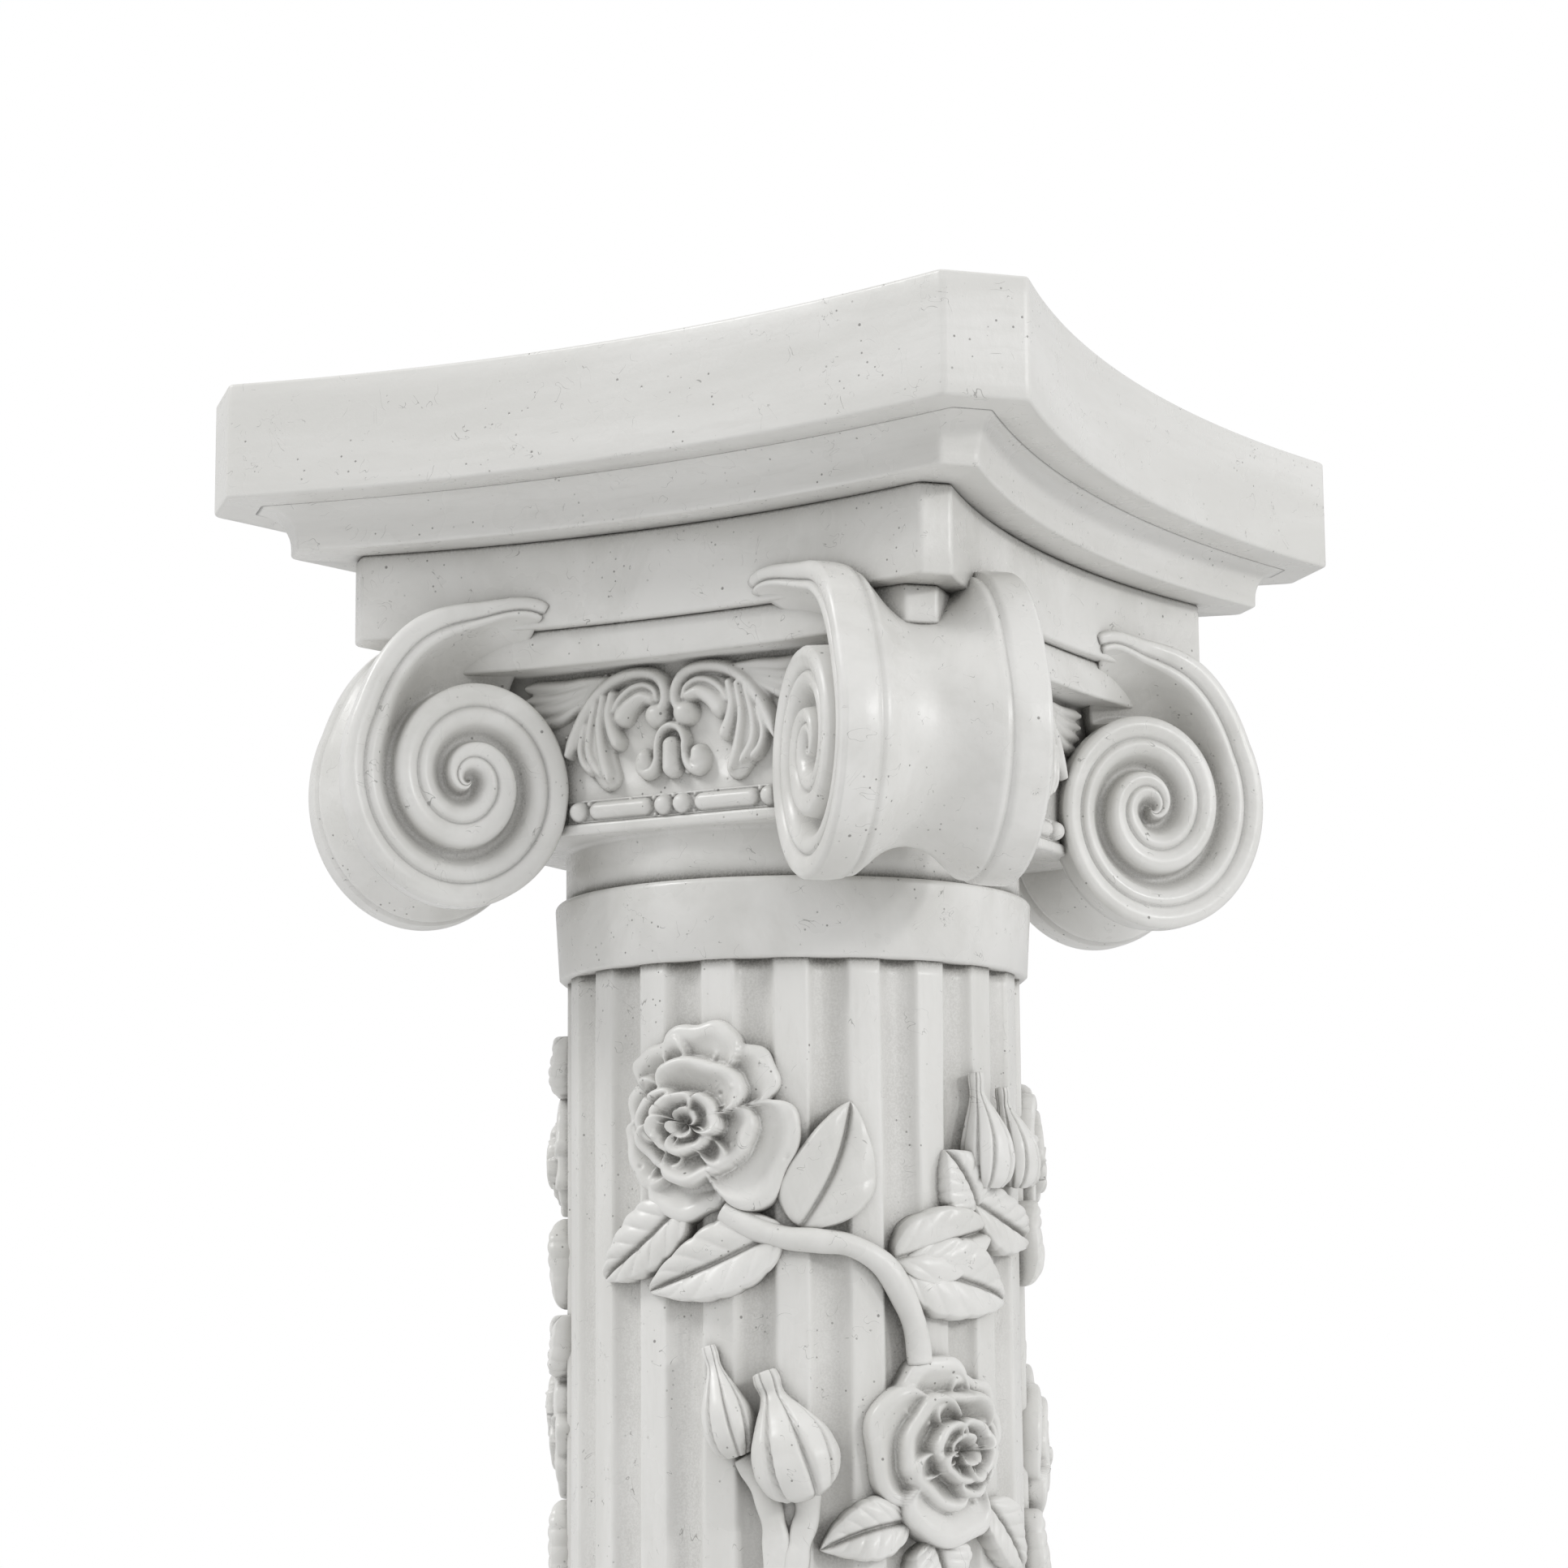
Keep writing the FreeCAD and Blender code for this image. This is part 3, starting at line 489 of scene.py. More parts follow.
def add_cavetto():
    lip, flare, steps = 3.0, 8.0, 10
    low, high = cavetto_low[2], cavetto_high[2]
    plan = plan_of(hollow_plan, *cavetto_plan)
    rings = eased_foot(plan, low)
    for step in range(steps + 1):
        angle = math.radians(90 * step / steps)
        rings.append((plan(-flare * (1 - math.cos(angle))), low + lip + (high - low - lip) * math.sin(angle)))
    build_casting("cavetto_course", rings + bored(low, high), finish=brushed_resin)


def add_block():
    low, high = block_low[2], block_high[2]
    build_casting("capital_block", eased(plan_of(hollow_plan, *block_plan), low, high) + bored(low, high))


def add_bell():
    """Neck, lip, bead course with the panels, and the flat band over them."""
    low, high = bell_low[2], bell_high[2]
    neck_radius = shaft_radius + 0.5
    neck_rises = ((0.0, low), (0.0, (low + lip_z) / 2), (0.0, lip_z - 1.5), (0.5, lip_z - 0.4), (2.0, lip_z))
    rings = [(circle(neck_radius + out), z) for out, z in neck_rises]
    rings += eased(plan_of(cut_square, *lip_plan), lip_z, bead_z, rows=0)
    rings += [(cut_square(*panel_plan), z) for z in (bead_z, (bead_z + canalis_z) / 2, canalis_z)]
    rings += eased(plan_of(hollow_plan, *band_plan), canalis_z, high)
    rings += bored(socket_top, high) + [(circle(socket_radius), socket_top), (circle(socket_radius), low)]
    build_casting("capital_bell", rings)


def add_collar():
    low, high = collar_low[2], collar_high[2]
    top, taper, chamfer, turn, steps = collar_high[0], 1.3, 1.2, 2.0, 6
    foot = circle(top - taper)
    rings = [(circle(socket_radius), low), (foot - chamfer, low), (foot, low + 1.0)]
    for step in range(steps + 1):
        angle = math.radians(90 * step / steps)
        rings.append((circle(top - turn * (1 - math.cos(angle))), high - turn * (1 - math.sin(angle))))
    build_casting("collar_band", rings + [(circle(socket_radius), high)])


def add_shaft():
    """Fluted column; each flute wanders a little, and its arrises are soft and slightly uneven."""
    pitch = 360 / flute_count
    azimuth = np.arange(0, 360, 0.5)[:, None]
    z = np.linspace(shaft_foot, collar_foot, 90)[None, :]
    sway = 0.16 * np.sin(z / 41 + np.floor(azimuth / pitch + 0.5) * 2.3) + 0.08 * np.sin(z / 13 + azimuth / 7)
    beside = np.abs((azimuth + sway + pitch / 2) % pitch - pitch / 2) / (pitch * flute_share / 2)
    depth = smoothed(flute_depth * np.clip(1 - beside ** 2, 0, 1) ** 0.6)
    uneven = 0.12 * np.sin(z / 29 + azimuth / 17)
    radius = np.minimum(shaft_radius - (depth + uneven), shaft_radius)
    angle, height = np.radians(azimuth) + 0 * z, z + 0 * azimuth
    outer, bore = (about_axis(reach, angle, height) for reach in (radius, shaft_bore))
    build_piece("fluted_shaft", "_casting", *lidded(outer, bore, round_rows=True), casting_weld, run_resin)


def smoothed(height):
    """Evens out a grid of heights that is round in its first direction."""
    height = (np.roll(height, 1, 0) + 3 * height + np.roll(height, -1, 0)) / 5
    height[:, 1:-1] = (height[:, :-2] + 3 * height[:, 1:-1] + height[:, 2:]) / 5
    return height


# ---- volutes ----

eye_distance, eye_z = 112.0, 576.5  # the scroll's eye, from the axis and from the floor
volute_half_width = 32.0
scroll_start_radius = 43.1  # at the top of the outer turn
scroll_pitch = 16.5  # radius lost in each turn
scroll_stretch = 1.12  # how much taller than wide the scroll is
scroll_step = 2.5  # degrees between columns of the mesh
# The free end: where it begins and where it joins the spiral (degrees), and how far it flares, rises, leans
# aside and narrows.
tail_start, tail_join, tail_flare = -30.0, 60.0, 6.5
tail_rise, tail_lean, tail_taper = 4.2, 9.5, 0.42
recess_depth = 16.0  # of the hollow under the free end
bands_share = 0.66  # of a turn that is ridge and band; the rest is channel
# Across one turn of the face, from its outer edge inwards: share of the pitch, depth below the rim.
face_profile = [(0.0, 1.6), (0.05, 0.45), (0.14, 0.0), (0.26, 0.25), (0.34, 0.95), (0.385, 2.3), (0.42, 1.5),
                (0.47, 0.8), (0.56, 0.9), (0.66, 2.1), (0.76, 5.0), (0.86, 7.2), (0.93, 7.0), (0.975, 4.2),
                (1.0, 1.6)]
face_shares = [0, .02, .05, .09, .13, .19, .26, .31, .35, .385, .42, .46, .51, .56, .61, .66, .71, .76, .81,
               .86, .895, .93, .955, .975, 1.0]
# The ribbon round the scroll: half widths of its waist and its bands, and the waist's depth, top and side.
waist_edge, band_edge = 16.0, 19.6
waist_top, waist_side = 7.0, 9.5


def scroll_radius(theta):
    return np.maximum(scroll_start_radius - scroll_pitch * theta / 360, 0)


def tail_lift(theta):
    """How far the scroll's free end rises off the spiral."""
    return tail_flare * np.sin(np.clip((tail_join - theta) / 40, 0, 1) * math.pi / 2) \
        + tail_rise * smoothstep(theta, 0, tail_start)


def tail_spread(theta):
    """How far the free end leans out sideways to run on along the block's face."""
    return tail_lean * smoothstep(theta, 8, tail_start)


def scroll_place(theta, radius, across, lift=0.0):
    angle = np.radians(theta)
    return np.stack(np.broadcast_arrays(
        eye_distance + radius * np.sin(angle), across,
        eye_z + scroll_stretch * radius * np.cos(angle) + lift), -1)


def ribbon_inset(theta, across):
    """How far the ribbon's outer face is drawn in, across its width."""
    beside_waist = 1.5
    reach = np.abs(across)
    waist = waist_top + (waist_side - waist_top) * smoothstep(theta, 0, 90)
    saddle = beside_waist + (waist - beside_waist) * np.clip(1 - (reach / waist_edge) ** 2, 0, 1) ** 0.9
    groove = profile([(0, 0), (waist_edge - 0.8, 0.0), (waist_edge, 0.9), (waist_edge + 0.8, -0.2),
                      (band_edge - 0.8, -0.4), (band_edge, 0.4), (band_edge + 1.0, -1.1),
                      (band_edge + 5, -beside_waist), (30.4, -beside_waist)], reach)
    return saddle + groove


def face_inward(theta, share):
    """How far from one turn to the next a point of the face lies; the bands narrow at the free end."""
    bands = 1 - tail_taper * smoothstep(theta, 40, tail_start)
    edge = bands_share * bands
    channel = edge + (share - bands_share) / (1 - bands_share) * (1 - edge)
    return np.where(share < bands_share, share * bands, channel)


def face_depth(theta, share):
    """Depth of the face under its rim; it fades out at the eye and opens into a recess at the free end."""
    edge_depth = face_profile[0][1]
    room = (scroll_radius(theta) - scroll_radius(theta + 360)) / scroll_pitch
    depth = edge_depth + (profile(face_profile, share + 0 * theta) - edge_depth) * np.clip(room, 0, 1) ** 0.8
    opened = smoothstep(theta, tail_join + 15, tail_join - 45) * smoothstep(share, 0.56, 0.95)
    opened = opened * smoothstep(share, 1.0, 0.955)
    return depth + (recess_depth - depth) * opened


def scroll_face(sign):
    """One coiled face of the scroll as a grid: along the spiral, and across each turn."""
    last = scroll_start_radius / scroll_pitch * 360
    count = int((last - tail_start) / scroll_step) + 1
    theta = (tail_start + scroll_step * np.arange(count))[:, None]
    share = np.array(face_shares)[None, :]
    inward = face_inward(theta, share)
    radius = scroll_radius(theta) * (1 - inward) + scroll_radius(theta + 360) * inward
    lift = tail_lift(theta) * smoothstep(share, 1.0, 0.62)
    spread = tail_spread(theta) * smoothstep(share, 0.95, 0.66)
    across = sign * (volute_half_width - face_depth(theta, share) + spread)
    return theta, scroll_place(theta, radius, across, lift)


def scroll_ribbon(theta, left_edge, right_edge):
    """The scroll's outer face as a grid, between the edges of its two coiled faces."""
    right = np.concatenate([[15.6, 16.4, 17.2, 18.4, 19.2, 19.9], np.linspace(20.6, 30.0, 7)])
    across = np.concatenate([-right[::-1], np.linspace(-14, 14, 13), right])[None, :]
    lift = tail_lift(theta) * smoothstep(np.abs(across), 4.0, 22.0)
    leaning = across + np.sign(across) * tail_spread(theta) * smoothstep(np.abs(across), 17, 31)
    ribbon = scroll_place(theta, scroll_radius(theta) - ribbon_inset(theta, across), leaning, lift)
    return np.concatenate([left_edge[:, None], ribbon, right_edge[:, None]], 1)


def scroll_shell():
    """Closed scroll: two coiled faces, the ribbon round them and a cap on the free end."""
    theta, right_face = scroll_face(1)
    left_face = scroll_face(-1)[1]
    outer = int(round(360 / scroll_step)) + 1
    ribbon = scroll_ribbon(theta[:outer], left_face[:outer, 0], right_face[:outer, 0])
    share = np.linspace(0, 1, ribbon.shape[1])[None, :, None]
    cap = left_face[0][:, None] * (1 - share) + right_face[0][:, None] * share
    cap[0], cap[-1] = ribbon[0], ribbon[-1]
    grids = (right_face, left_face[:, ::-1], ribbon, cap[:, ::-1])
    return joined([(grid.reshape(-1, 3), grid_faces(*grid.shape[:2])[0].tolist()) for grid in grids])


# ---- strokes of relief ----

spine_points = 70  # along each lobe
bare = -9.0  # height of a relief's grid where nothing is drawn


def lobe(along, up, points, width, height):
    """Rounded lobe through a few points, on a grid; width runs from its foot to its tip."""
    share = np.linspace(0, 1, spine_points)
    radii = (width[0] + (width[1] - width[0]) * share) / 2 * np.minimum(1, 0.55 + 6 * (1 - share))
    best = np.full(along.shape, bare)
    for (x, y), radius in zip(curve_through(points, spine_points), radii):
        reach = radius * 1.7
        near = (np.abs(along - x) < reach) & (np.abs(up - y) < reach)
        distance = np.hypot(along[near] - x, up[near] - y) / radius
        dome = height * np.sqrt(np.clip(1 - distance ** 2, 0, 1)) - 3.0 * radius * np.clip(distance - 1, 0, 9)
        best[near] = np.maximum(best[near], dome)
    return best


# One half of a panel's ornament, as strokes: points (along, up from the panel's foot), width, height.
acanthus_lobes = [
    # the ridge that rises from the ball, arches over and falls as the leaf's outer edge
    ([(3.2, 25), (1.7, 28.6), (2.4, 33), (5.6, 36.4), (11.2, 37.6), (17, 37), (21.8, 35),
      (26.6, 31), (31, 25.2), (34.2, 19), (36.2, 14.2)], (4.2, 5), 4.9),
    # the ball
    ([(4.6, 24), (5.2, 24)], (8.2, 8.2), 5.8),
    # the ridge and the tongue inside the scroll, over a thick web
    ([(7, 31.4), (12, 31.8), (17, 29.5), (22, 26)], (7, 10), 2.7),
    ([(4.6, 28.6), (5.6, 31.6), (9.2, 33.6), (13.6, 32.9), (17.6, 30), (19.8, 26.4)], (3, 3.4), 4.2),
    ([(6.2, 28.8), (10, 29.8), (14.4, 27.4), (17.6, 23.9)], (4, 7.4), 5.2),
    # the falling leaf: a broad body and the ridges on it
    ([(26.4, 29), (26.8, 20), (25.2, 12.4), (21.6, 4.8)], (15.5, 8), 3),
    ([(20.4, 31.6), (21.6, 26), (20.6, 20.6), (18.4, 15.8)], (3.6, 5.4), 4.7),
    ([(23.4, 31), (24.8, 22), (23.6, 13), (21.2, 5.2)], (3.4, 5), 4.8),
    ([(26.2, 29.6), (28.4, 21), (28.4, 13.6), (24.6, 7.2)], (3.4, 4.2), 4.3),
    ([(30.2, 23), (31.8, 16.4), (30.8, 11.6), (28, 8.4)], (3.2, 3.6), 3.8),
    # the leaf beside the volute
    ([(22, 36.4), (30, 36.6), (38, 36), (51, 36.4)], (3.2, 5.4), 3.6),
    ([(24, 35.6), (31, 34.4), (40, 32.8), (51, 32.4)], (3.2, 5), 3.3),
    ([(24, 34.6), (31.6, 32.4), (40, 29.8), (50, 28.6)], (3.4, 5.6), 3.1),
    ([(29, 31.6), (35, 28.2), (41, 25.6), (49, 24.6)], (3.4, 4.4), 2.8),
]
# The bud under the two scrolls: a hooked knob at each side, an arch and an oval.
bud_side_lobes = [
    ([(4.7, 14.0), (5.0, 10.2), (6.4, 7.4), (9.0, 6.6), (10.8, 8.4), (10.6, 11.6)], (3.2, 4.6), 3.9),
    ([(9.4, 9.6), (9.3, 11.6)], (6.2, 5.6), 4.9),
]
bud_lobes = [
    ([(-4.8, 12), (-4.6, 16), (-3, 19.2), (0, 20.5), (3, 19.2), (4.6, 16), (4.8, 12)],
     (3.2, 3.2), 4),
    ([(0, 7.6), (0, 14.9)], (6.4, 6.2), 5.4),
]
lobe_blend = 0.34  # how softly the lobes run into each other
# Beads of resin left in the corners of the mould: along, up from the panel's foot, radius.
panel_nodules = [(-23.6, 38.0, 0.9), (-21.4, 38.3, 0.7), (-26.0, 37.8, 1.0), (0.3, 22.6, 0.8),
                 (-9.4, 25.0, 0.7), (4.6, 6.2, 0.7), (19.0, 38.6, 0.7), (36.6, 26.4, 0.8),
                 (-37.6, 20.0, 0.9), (30.4, 9.0, 0.7)]
bead_nodules = [(-6.4, 0.9, 0.7), (-6.8, 5.9, 0.8), (0.0, 6.2, 0.9), (7.0, 1.1, 0.6), (-29.6, 5.8, 0.9),
                (29.8, 5.9, 0.8), (7.2, 6.0, 0.5), (-15.0, 6.4, 0.6)]
relief_cell = 0.35
relief_sink = 0.8  # how far under the panel's face a relief's edge lies


def panel_shell(along, up, height, foot_z):
    """Closed shell of a relief on a panel's face, drawn on +X."""
    keep = height > -relief_sink
    cells = keep[:-1, :-1] | keep[1:, :-1] | keep[:-1, 1:] | keep[1:, 1:]
    top = np.stack([panel_half_width + np.maximum(height, -relief_sink), along, foot_z + up], -1)
    bottom = np.stack([np.full(along.shape, panel_half_width - relief_sink - 0.6), along, foot_z + up], -1)
    return lidded(top, bottom, keep=cells)


def nodules(along, up, height, places):
    for x, y, radius in places:
        distance = np.hypot(along - x, up - y) / radius
        bead = 0.6 + 1.3 * radius * np.sqrt(np.clip(1 - distance ** 2, 0, 1))
        height = np.where(distance < 1, np.maximum(height, bead), height)
    return height


def add_acanthus():
    half, foot, tall = 52.0, 0.2, 40.0
    along, up = np.meshgrid(np.arange(-half, half + 0.1, relief_cell), np.arange(foot, tall, relief_cell),
                            indexing="ij")
    lobes = bud_lobes + [([(sign * x, y) for x, y in points], width, rise)
                         for sign in (-1, 1) for points, width, rise in acanthus_lobes + bud_side_lobes]
    blended = sum(np.exp(lobe(along, up, *spec) / lobe_blend) for spec in lobes)
    height = nodules(along, up, lobe_blend * np.log(blended + 1e-9), panel_nodules)
    build_copies("acanthus_", "_relief", *panel_shell(along, up, height, panel_z), sides)


def add_bead_rows():
    half, course, edge, edge_rise, ground_rise = 37.4, 7.0, 0.5, 0.9, 0.3
    bead_radius, bead_rise, end_offset = 3.2, 4.2, 33.2
    reel_radius, reel_rise, reel_half, reel_offset = 2.8, 3.0, 8.4, 18.4
    along, up = np.meshgrid(np.arange(-half, half + 0.1, 0.3), np.arange(0.0, course + 0.01, 0.25),
                            indexing="ij")
    middle = course / 2
    height = np.where((up > edge) & (up < course - edge), ground_rise, edge_rise)
    for x in (-bead_radius, bead_radius, -end_offset, end_offset):
        distance = np.hypot(along - x, up - middle) / bead_radius
        height = np.maximum(height, bead_rise * np.sqrt(np.clip(1 - distance ** 2.6, 0, 1)))
    for x in (-reel_offset, reel_offset):
        beyond = np.maximum(np.abs(along - x) - reel_half, 0)
        distance = np.hypot(beyond, up - middle) / reel_radius
        height = np.maximum(height, reel_rise * np.clip(1 - distance ** 2.4, 0, 1) ** 0.5)
    height = nodules(along, up, height, bead_nodules)
    build_copies("bead_row_", "_relief", *panel_shell(along, up, height, bead_z), sides)


# ---- roses ----

bloom_drop = 47.2  # from the collar's foot to the upper bloom's middle
upper_bloom_z = collar_foot - bloom_drop
spray_foot_margin = 16.0
spray_pitch_share = 1.83  # spray pitches from the upper bloom to the lowest spray's foot
spray_pitch = (collar_foot - shaft_foot - bloom_drop - spray_foot_margin) / spray_pitch_share
relief_foot = -4.6  # under the floor of the flutes
bloom_weld = 0.01
# Azimuth of each spray's start, and its row from the top.
sprays = {"front": (11, 0), "back": (191, 0), "front_foot": (24, 1), "back_foot": (204, 1)}
# Everything on a spray is placed from its start, as (degrees, share of the spray pitch).
spray_blooms = [("upper", "full", 57.5, (-2.5, 0.008)), ("lower", "cupped", 55.0, (50.0, -0.524))]
stem_places = [(0.3, -0.147), (6.7, -0.174), (14.3, -0.191), (21.9, -0.196), (29.5, -0.204), (37.4, -0.235),
               (42.6, -0.290), (45.2, -0.335), (46.2, -0.386)]
bud_stem_places = [[(4.9, -0.524), (8.7, -0.573), (11.0, -0.623), (11.8, -0.68), (11.0, -0.83)],
                   [(18.7, -0.560), (18.9, -0.611), (17.0, -0.654), (15.6, -0.70), (14.5, -0.83)]]
# Buds: foot, tip, width. Leaves: foot, tip, width, strength of the side veins.
small_bud = ((3.6, -0.520), (-3.9, -0.357), 15.5)
large_bud = ((18.8, -0.575), (9.3, -0.398), 26.5)
spray_leaves = [((17.9, -0.176), (29.9, 0.021), 26.0, 0.25), ((-9.6, -0.130), (-35.0, -0.250), 20.0, 1.0),
                ((14.0, -0.176), (-20.1, -0.270), 22.0, 0.7), ((43.0, -0.625), (21.7, -0.667), 18.0, 0.6),
                ((49.4, -0.650), (54.0, -0.745), 20.0, 0.6), ((67.0, -0.60), (82.1, -0.711), 18.0, 0.7)]
cluster_leaves = [((64.6, -0.142), (54.7, -0.052), 21.0, 0.6), ((63.0, -0.130), (90.4, -0.186), 19.0, 0.8),
                  ((40.0, -0.225), (70.0, -0.172), 23.0, 0.5), ((42.0, -0.235), (76.0, -0.285), 25.0, 0.7)]
cluster_buds = [((67.6, -0.105), (64.8, 0.074), 16.0), ((81.0, -0.100), (76.0, 0.055), 15.0)]
# Single roses of the flanks: azimuth, share of the spray pitch under the upper bloom.
side_blooms = {"left_upper": (-82, 0.03), "left_lower": (-80, 0.49), "left_foot": (-62, 1.10),
               "right_upper": (130, 0.02), "right_lower": (127, 0.52), "right_foot": (140, 1.10)}
side_leaf_offsets = [((-12, -0.10), (-24, -0.24)), ((12, -0.11), (20, -0.26)), ((8, 0.10), (22, 0.19))]


def on_shaft(start, across, up, height):
    """Points laid on the shaft: arc length across, millimetres up, and height above its surface."""
    return about_axis(shaft_radius + height, np.radians(start[0]) + across / shaft_radius, start[1] + up)


def shaft_relief(start, across, up, height, round_rows=False):
    """Closed shell from a relief's heights down into the shaft."""
    top = on_shaft(start, across, up, height)
    bottom = on_shaft(start, across, up, np.full(height.shape, relief_foot))
    return lidded(top, bottom, round_rows)


def placed(start, offset):
    return start[0] + offset[0], start[1] + offset[1] * spray_pitch


# Petals from the outside in: direction, half spread (degrees), rim radius, rim height (millimetres).
full_rose = [
    (8, 32, 31, 7.4), (48, 30, 30, 6.6), (115, 44, 33, 8), (185, 38, 28, 6), (240, 40, 23.5, 7),
    (292, 38, 21.5, 7.6), (333, 28, 28, 6.4),
    (20, 58, 20.5, 10.4), (108, 46, 19.5, 9.8), (165, 46, 18, 10.6), (228, 48, 15.5, 10.2),
    (290, 54, 14.5, 11),
    (-30, 62, 10, 13.2), (70, 52, 11, 13.6), (160, 58, 9.5, 13.2), (245, 52, 10, 13.4),
    (20, 84, 5.2, 12.6), (205, 86, 4.6, 13)]
cupped_rose = [
    (275, 54, 30, 7.4), (338, 38, 29.5, 6.8), (20, 30, 24.5, 6.4), (60, 32, 20.5, 6.8),
    (112, 40, 18, 7), (190, 50, 29, 9.4),
    (290, 60, 20.5, 10), (0, 48, 18.5, 10.2), (70, 46, 13.5, 10), (150, 52, 14.5, 10.4),
    (222, 48, 19.5, 10.2),
    (-70, 62, 11.5, 12.8), (30, 58, 10, 13.2), (130, 56, 10.2, 12.8), (215, 52, 10.6, 13),
    (-40, 84, 5.6, 12), (130, 88, 5, 12.4)]
# The petals of each kind, and how far its heart lies from the middle of the bloom.
roses = {"full": (full_rose, (-6.4, -3.9)), "cupped": (cupped_rose, (6.6, 0.9))}
rose_reach = 28.5  # half width of the drawn roses, which are scaled to each bloom
petal_cup = 8.2  # how far a petal's cup lies under its rim
petal_roll = 2.1  # how far in a petal's edge is rolled over
petal_floor = 2.0  # height between the petals
bloom_angle_step = 1.2  # degrees between the rows of a bloom's mesh
bloom_columns = 104
bloom_marks = 9  # pits and beads left by the mould on each bloom


def petal_rim(petal, angle, wave):
    """Place across a petal, from -1 to 1, and the radius of its waved rim, 0 beside it."""
    direction, spread, rim = petal[:3]
    aside = ((angle - direction + 180) % 360 - 180) / spread
    ripple = 1 + 0.032 * np.sin(aside * 4.2 + wave) + 0.016 * np.sin(aside * 9 + wave * 2)
    return aside, np.where(np.abs(aside) < 1, rim * ripple * (1 - 0.07 * aside ** 2 - 0.40 * aside ** 8), 0)


def laid_petal(petal, angle, radius, wave, height):
    """Heights with one petal laid in: a cup with a raised edge that rolls over, tilted and waved."""
    aside, rim = petal_rim(petal, angle, wave)
    gap = rim - radius
    thick = 1.0 + 0.045 * petal[2]
    surface = petal[3] - petal_cup * (1 - (radius / np.maximum(rim, 1e-3)) ** 2)
    surface = surface + 1.3 * np.exp(-((gap - 1.5 * thick) / thick) ** 2)
    surface = surface - 3.4 * (1 - np.sqrt(1 - np.clip(1 - gap / petal_roll, 0, 1) ** 2))
    surface = surface + 0.9 * aside + 0.5 * np.sin(aside * 3.4 + wave)
    return np.where(radius < rim, np.maximum(height, surface), height)


def marked(height, angle, radius, outline, rng):
    for _ in range(bloom_marks):
        mark_angle, mark_share = rng.uniform(0, 360), rng.uniform(0.25, 0.95)
        away = np.radians(angle - mark_angle)
        middle = outline[int(mark_angle / bloom_angle_step)] * mark_share
        reach = np.hypot(radius * np.sin(away), radius * np.cos(away) - middle)
        height = height + rng.choice([-0.9, 0.8]) * np.exp(-(reach / rng.uniform(0.5, 0.8)) ** 2)
    return height


def bloom_shell(kind, width, spin, seed, start, rise):
    """Open rose as a height over angle and radius about its heart, closed into the shaft."""
    rng = np.random.default_rng(seed)
    petals, heart = roses[kind]
    waves = rng.uniform(0, 6.28, len(petals))
    angle = np.arange(0, 360, bloom_angle_step)[:, None]
    outline = np.maximum.reduce([petal_rim(petal, angle, wave)[1] for petal, wave in zip(petals, waves)])
    share = np.linspace(0, 1, bloom_columns)[None, :]
    radius = outline * share
    height = np.full(radius.shape, petal_floor)
    for petal, wave in zip(petals, waves):
        height = laid_petal(petal, angle, radius, wave, height)
    height = 1.0 + (height - 1.0) * rise * (1 - 0.3 * smoothstep(share, 0.7, 1.0))
    height = smoothed(marked(height, angle, radius, outline, rng))
    height[:, 0] = height[:, 1].mean()
    scale, turn, ahead = width / 2 / rose_reach, np.radians(angle + spin), np.radians(spin)
    across = scale * (radius * np.sin(turn) + heart[0] * np.cos(ahead) + heart[1] * np.sin(ahead))
    up = scale * (radius * np.cos(turn) - heart[0] * np.sin(ahead) + heart[1] * np.cos(ahead))
    return shaft_relief(start, across, up, height, round_rows=True)


def leaf_half_width(along, aside, width, ribs, teeth, seed):
    toothed = 1 + 0.08 * ribs * (np.abs(np.sin(math.pi * (along * teeth - 1.3))) ** 0.7 - 0.6)
    half = width / 2 * np.clip(np.sin(math.pi * along ** 0.72), 0, 1) ** 0.8 * toothed
    return np.maximum(half * (1 + 0.05 * np.sign(aside) * np.sin(along * 7 + seed)), 0.25)


def leaf_height(along, aside, half, ribs, teeth, seed):
    """Height of a leaf: bulges between its side veins, a waved edge and a sunk midrib."""
    beside = np.abs(aside)
    belly = np.sin(math.pi * np.clip(along, 0, 1)) ** 0.4
    bulge = np.abs(np.sin(math.pi * (along * teeth - beside * 1.3))) ** 0.7
    wave = np.sin(along * 8 + 2.5 * np.sign(aside) + seed)
    height = 0.8 + 3.4 * belly + 1.3 * belly * np.sin(math.pi * beside) ** 0.8
    height = height + ribs * (bulge - 0.5) * np.sin(math.pi * np.clip(beside * 0.9 + 0.08, 0, 1)) * belly
    height = height + (1.2 * beside + 1.1 * wave * beside ** 1.5) * (1.2 - ribs * 0.7) * belly
    midrib = 1.9 * belly * np.exp(-(aside * half / 0.75) ** 2)
    return height - midrib - 1.2 * smoothstep(beside, 0.9, 1.0)


def leaf_shell(base, tip, width, ribs, seed):
    """Pointed, slightly bent leaf from its foot to its tip, closed into the shaft."""
    rng = np.random.default_rng(seed)
    run, rise = math.radians(tip[0] - base[0]) * shaft_radius, tip[1] - base[1]
    length = math.hypot(run, rise)
    ahead = np.array([run, rise]) / length
    along, aside = np.linspace(0, 1, 96)[:, None], np.linspace(-1, 1, 57)[None, :]
    bend = rng.uniform(-0.07, 0.07) * length
    teeth = 6 if ribs > 0.5 else 4
    half = leaf_half_width(along, aside, width, ribs, teeth, seed)
    height = leaf_height(along, aside, half, ribs, teeth, seed)
    place = aside * half + bend * np.sin(math.pi * along)
    across = ahead[0] * along * length + ahead[1] * place
    up = ahead[1] * along * length - ahead[0] * place
    return shaft_relief(base, across, up, height)


